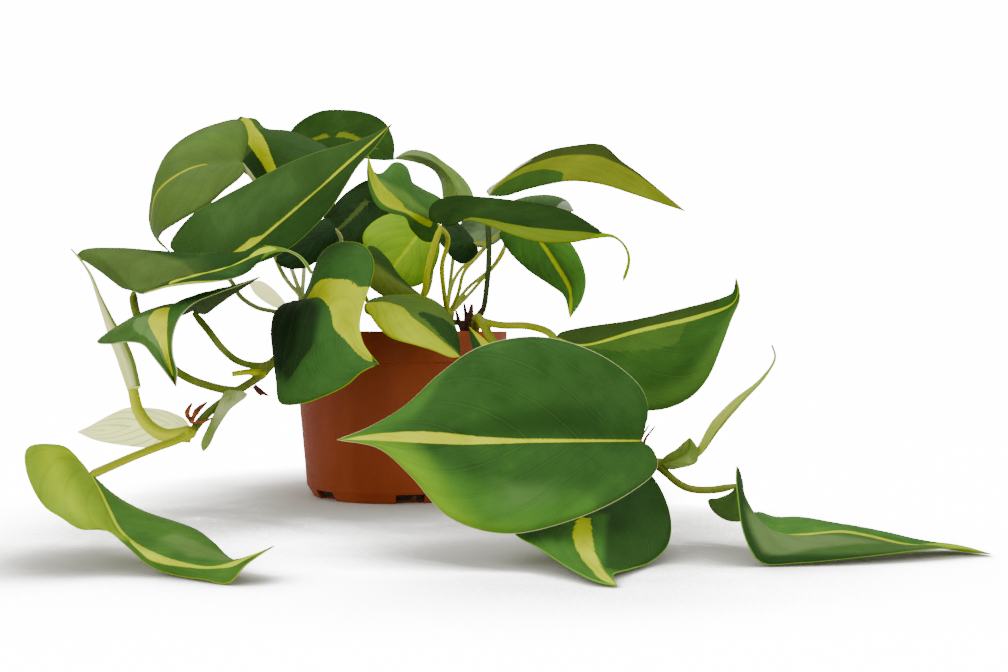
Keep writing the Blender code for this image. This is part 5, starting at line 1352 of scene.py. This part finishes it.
# %% Pot shape
rim_foot = POT_HEIGHT - POT_RIM_DEPTH
pot_outline = [
    (POT_BASE_RADIUS - 1.2, 0.0), (POT_BASE_RADIUS - 0.3, 0.3), (POT_BASE_RADIUS, 1.0),
    (POT_BODY_FOOT_RADIUS - 0.3, POT_CHAMFER_HEIGHT - 0.5), (POT_BODY_FOOT_RADIUS, POT_CHAMFER_HEIGHT + 0.3),
    (POT_BODY_TOP_RADIUS - 0.1, rim_foot - 1.2), (POT_BODY_TOP_RADIUS, rim_foot),
    (POT_RIM_FOOT_RADIUS - 0.4, rim_foot), (POT_RIM_FOOT_RADIUS, rim_foot + 0.4),
    (POT_TOP_RADIUS - 0.05, POT_HEIGHT - 1.4), (POT_TOP_RADIUS, POT_HEIGHT - 0.7),
    (POT_TOP_RADIUS - 0.25, POT_HEIGHT - 0.2), (POT_TOP_RADIUS - 0.8, POT_HEIGHT),
    (POT_TOP_RADIUS - POT_WALL + 0.4, POT_HEIGHT - 0.1), (POT_TOP_RADIUS - POT_WALL, POT_HEIGHT - 0.7),
    (POT_RIM_FOOT_RADIUS - POT_WALL, rim_foot + 2.0), (POT_BODY_TOP_RADIUS - POT_WALL, rim_foot - 1.0),
    (POT_BODY_FOOT_RADIUS - POT_WALL, POT_CHAMFER_HEIGHT), (POT_BASE_RADIUS - POT_WALL, POT_WALL)]
pot = ring_solid("pot_shell", pot_outline, POT_FACETS)
for number in range(DRAIN_SLOTS):
    cut_by_box(pot, DRAIN_FIRST_ANGLE + 2.0 * math.pi * number / DRAIN_SLOTS, DRAIN_CUTTER_RADIUS,
               (DRAIN_CUTTER_DEPTH, DRAIN_SLOT_WIDTH, 2.0 * DRAIN_SLOT_HEIGHT))
only(pot)
bpy.ops.object.shade_smooth_by_angle(angle=POT_EDGE_ANGLE)
print("pot faces:", len(pot.data.polygons))

# %% [markdown]
# ## Moulded polypropylene
# The pot's plastic is coloured through, terracotta brown, with a dull satin skin. It shows broad vertical
# clouding from the mould's cooling, and fine scuffs that are paler and duller than the rest.

# %% Pot material
CLOUDS_PER_METRE = (26.0, 26.0, 7.0)  # a cloud is 38 mm wide and 140 mm tall
SCUFFS_PER_METRE = 420.0  # a scuff is 2.4 mm wide


def pot_material():
    """Injection-moulded polypropylene: satin, slightly cloudy brown."""
    made, tree, shader = start_material(
        "polypropylene_moulded_brown", {"Roughness": 0.46, "IOR": 1.49, "Specular IOR Level": 0.2})
    place = add_node(tree, "TexCoord", {}, None, "Object")
    tall = add_node(tree, "Mapping", {"Vector": place, "Scale": CLOUDS_PER_METRE})
    cloud = add_node(tree, "TexNoise", {"Vector": tall, "Scale": 1.0, "Detail": 3.0})
    scuff = add_node(tree, "TexNoise",
                     {"Vector": place, "Scale": SCUFFS_PER_METRE, "Detail": 5.0, "Roughness": 0.7})
    colour = laid_over(tree, linear("#8a3813"), linear("#a14b24"), cloud, 0.3, 0.7)
    colour = laid_over(tree, colour, linear("#a06a4c"), scuff, 0.6, 0.75, (0.0, 0.18))
    duller = add_node(tree, "MapRange", {0: scuff, 1: 0.3, 2: 0.8, 3: 0.40, 4: 0.56}, SMOOTH)
    bump = add_node(tree, "Bump", {"Strength": 0.2, "Distance": 0.0001, "Height": scuff})
    set_inputs(tree, shader, {"Base Color": colour, "Roughness": duller, "Normal": bump})
    return made


pot.data.materials.clear()
pot.data.materials.append(pot_material())
hand_over(pot, "pot")
print("pot material:", pot.data.materials[0].name)

# %% [markdown]
# ## Soil
# Potting soil is dark peat with crumbs and bark chips of one to four millimetres. The filling is one ring
# solid again. Its top is a low mound of rings two millimetres apart, whose vertices are moved up and down
# at random. The crumbs are one small, knobbly stone shape, copied with a turn, a size and a place each, and
# joined to the filling's top.

# %% Soil filling
SOIL_TOP = 81.0
SOIL_MOUND = 5.0
SOIL_GAP = POT_WALL + 0.3
SOIL_FACETS = 96
SOIL_SEED = 7
LOWEST_HOLLOW, HIGHEST_LUMP = -1.1, 0.3
soil_edge = POT_RIM_FOOT_RADIUS - SOIL_GAP
soil_outline = [
    (POT_BASE_RADIUS - SOIL_GAP, POT_WALL + 0.3), (POT_BODY_FOOT_RADIUS - SOIL_GAP, POT_CHAMFER_HEIGHT),
    (POT_BODY_TOP_RADIUS - SOIL_GAP, rim_foot - 1.0), (soil_edge, rim_foot + 2.0),
    (soil_edge, SOIL_TOP - SOIL_MOUND - 0.6), (soil_edge - 1.0, SOIL_TOP - SOIL_MOUND)]
soil_outline += [(radius, SOIL_TOP - SOIL_MOUND * (radius / soil_edge) ** 2) for radius in range(54, 1, -2)]
soil = ring_solid("soil_filling", soil_outline, SOIL_FACETS)
rng = np.random.default_rng(SOIL_SEED)
places = np.empty((len(soil.data.vertices), 3))
soil.data.vertices.foreach_get("co", places.reshape(-1))
on_top = places[:, 2] > (SOIL_TOP - SOIL_MOUND - 0.7) * MM
loose = on_top & (np.hypot(places[:, 0], places[:, 1]) < (soil_edge - 0.5) * MM)
places[loose, 2] += rng.uniform(LOWEST_HOLLOW, HIGHEST_LUMP, loose.sum()) * MM
soil.data.vertices.foreach_set("co", places.reshape(-1))
soil.data.update()
print("loose places on the soil's top:", loose.sum())

# %% Soil crumbs
CRUMBS = 420
CRUMB_RADII, CRUMB_SHARES = (0.7, 1.0, 1.5, 2.1), (0.35, 0.35, 0.2, 0.1)
CRUMB_SINK = 0.3
CRUMB_FREE_EDGE = 3.0
CRUMB_EDGE_ANGLE = math.radians(40.0)


def crumb_points():
    """Vertices and faces of one knobbly crumb of radius one."""
    bpy.ops.object.select_all(action="DESELECT")
    bpy.ops.mesh.primitive_ico_sphere_add(subdivisions=1, radius=1.0)
    ball = bpy.context.object
    points = np.array([vertex.co[:] for vertex in ball.data.vertices])
    points *= rng.uniform(0.72, 1.0, (len(points), 1))
    faces = np.array([polygon.vertices[:] for polygon in ball.data.polygons])
    bpy.data.objects.remove(ball)
    return points, faces


def turned_at_random(points):
    """The points after a random stretch and turn."""
    turn, _ = np.linalg.qr(rng.normal(size=(3, 3)))
    if np.linalg.det(turn) < 0.0:
        turn[:, 0] *= -1.0
    return (points * rng.uniform(0.55, 1.3, 3)) @ turn.T


def add_crumbs():
    """Crumbs and bark chips that lie in the soil's top."""
    points, faces = crumb_points()
    all_points, all_faces = [], []
    for number in range(CRUMBS):
        far = (soil_edge - CRUMB_FREE_EDGE) * math.sqrt(rng.uniform())
        angle = rng.uniform(0.0, 2.0 * math.pi)
        height = SOIL_TOP - SOIL_MOUND * (far / soil_edge) ** 2 - CRUMB_SINK
        size = rng.choice(CRUMB_RADII, p=CRUMB_SHARES)
        spot = np.array((far * math.cos(angle), far * math.sin(angle), height))
        all_points.append((turned_at_random(points) * size + spot) * MM)
        all_faces.append(faces + number * len(points))
    mesh = bpy.data.meshes.new("soil_crumbs")
    mesh.from_pydata(np.concatenate(all_points).tolist(), [], np.concatenate(all_faces).tolist())
    crumbs = bpy.data.objects.new("soil_crumbs", mesh)
    bpy.context.scene.collection.objects.link(crumbs)
    return crumbs


soil = joined([soil, add_crumbs()], "soil_filling")
only(soil)
bpy.ops.object.shade_smooth_by_angle(angle=CRUMB_EDGE_ANGLE)
print("soil faces:", len(soil.data.polygons))

# %% [markdown]
# ## Peat
# Damp peat is nearly black-brown and quite matt, with lighter fibres and the odd reddish chip. Voronoi
# cells as big as crumbs each pick a brown of their own, and a finer noise roughens the surface.

# %% Soil material
PEAT_CRUMBS_PER_METRE = 480.0  # a crumb is 2.1 mm wide
FIBRES_PER_METRE = 900.0  # a fibre is 1.1 mm wide


def soil_material():
    """Damp peat with lighter fibres."""
    made, tree, shader = start_material("peat_potting_soil", {"Roughness": 0.95})
    place = add_node(tree, "TexCoord", {}, None, "Object")
    crumbs = add_node(tree, "TexVoronoi", {"Vector": place, "Scale": PEAT_CRUMBS_PER_METRE}, None, "Color")
    pick = add_node(tree, "SeparateColor", {0: crumbs})
    colour = add_node(tree, "Mix", {0: pick, 6: linear("#1d130d"), 7: linear("#3f2a1b")}, COLOURS, 2)
    colour = laid_over(tree, colour, linear("#6f4a2c"), pick, 0.86, 0.9, (0.0, 0.8))
    grain = add_node(tree, "TexNoise",
                     {"Vector": place, "Scale": FIBRES_PER_METRE, "Detail": 6.0, "Roughness": 0.7})
    bump = add_node(tree, "Bump", {"Strength": 0.9, "Distance": 0.0008, "Height": grain})
    set_inputs(tree, shader, {"Base Color": colour, "Normal": bump})
    return made


soil.data.materials.clear()
soil.data.materials.append(soil_material())
hand_over(soil, "soil")
print("soil material:", soil.data.materials[0].name)

# %% [markdown]
# ## Studio
# The picture was taken on white paper with soft light from above and all round, so that only faint shadows
# lie under the pot and the lowest leaves. A sweep, flat in front and curved up behind, stands for the paper.
# It is so large that a view from behind sees its far end as a horizon, well above the plant. Paper lit to
# full white would throw too much light up into the leaves, so its own colour is a pale grey, and it glows
# for the camera's rays alone. Ambient occlusion dims that glow near the plant and keeps the soft shadows.
# Large area lights above and beside it do the rest.

# %% Floor and sweep
SWEEP_HALF_WIDTH = 9.0
SWEEP_FRONT = -9.0
SWEEP_BACK = 1.2
SWEEP_BEND = 0.8
SWEEP_TOP = 4.0
PAPER_CLOUDS_PER_METRE = 3.0  # a cloud is 330 mm wide
PAPER_GLOW = 15.0
SHADOW_REACH = 0.115
SHADOW_POWER = 15.0
sweep_line = [(SWEEP_FRONT, 0.0), (SWEEP_BACK, 0.0)] + [
    (SWEEP_BACK + SWEEP_BEND * math.sin(turn), SWEEP_BEND - SWEEP_BEND * math.cos(turn))
    for turn in np.linspace(0.1, math.pi / 2.0, 14)] + [(SWEEP_BACK + SWEEP_BEND, SWEEP_TOP)]
sweep_points = np.array([[(side * SWEEP_HALF_WIDTH, y, z) for side in (-1.0, 1.0)] for y, z in sweep_line])
sweep = laid_grid("paper_sweep", sweep_points)
sweep.data.shade_smooth()
paper, tree, shader = start_material(
    "matt_white_paper", {"Roughness": 0.9, "Emission Color": linear("#ffffff")})
place = add_node(tree, "TexCoord", {}, None, "Object")
cloud = add_node(tree, "TexNoise", {"Vector": place, "Scale": PAPER_CLOUDS_PER_METRE})
colour = add_node(tree, "Mix", {0: cloud, 6: linear("#d0cdc3"), 7: linear("#d6d3ca")}, COLOURS, 2)
open_sky = add_node(tree, "AmbientOcclusion", {"Distance": SHADOW_REACH}, {"samples": 16}, "AO")
glow = add_node(tree, "Math", {0: open_sky, 1: SHADOW_POWER}, {"operation": "POWER"})
glow = add_node(tree, "Math", {0: glow, 1: PAPER_GLOW}, MULTIPLY)
seen = add_node(tree, "LightPath", {}, None, "Is Camera Ray")
glow = add_node(tree, "Math", {0: seen, 1: glow}, MULTIPLY)
set_inputs(tree, shader, {"Base Color": colour, "Emission Strength": glow})
sweep.data.materials.append(paper)
print("sweep faces:", len(sweep.data.polygons))

# %% Light from all round and lamps
WORLD_STRENGTH = 0.72
world = bpy.data.worlds.new("studio")
world.use_nodes = True
set_inputs(world.node_tree, world.node_tree.nodes["Background"],
           {"Color": linear("#ffffff"), "Strength": WORLD_STRENGTH})
bpy.context.scene.world = world


def area_light(name, place, target, size, power):
    """A square soft light that looks at a target."""
    light = bpy.data.lights.new(name, "AREA")
    light.size, light.energy = size, power
    lamp = bpy.data.objects.new(name, light)
    lamp.location = place
    lamp.rotation_euler = (Vector(target) - Vector(place)).to_track_quat("-Z", "Y").to_euler()
    bpy.context.scene.collection.objects.link(lamp)


area_light("overhead", (0.0, 0.0, 1.5), (0.0, 0.0, 0.0), 1.6, 12.0)
area_light("left_front", (-1.1, -1.2, 0.9), (0.0, 0.0, 0.08), 1.0, 13.5)
area_light("right_front", (1.2, -0.9, 0.7), (0.0, 0.0, 0.08), 1.0, 6.0)
print("lamps in watts:", {lamp.name: lamp.energy for lamp in bpy.data.lights})
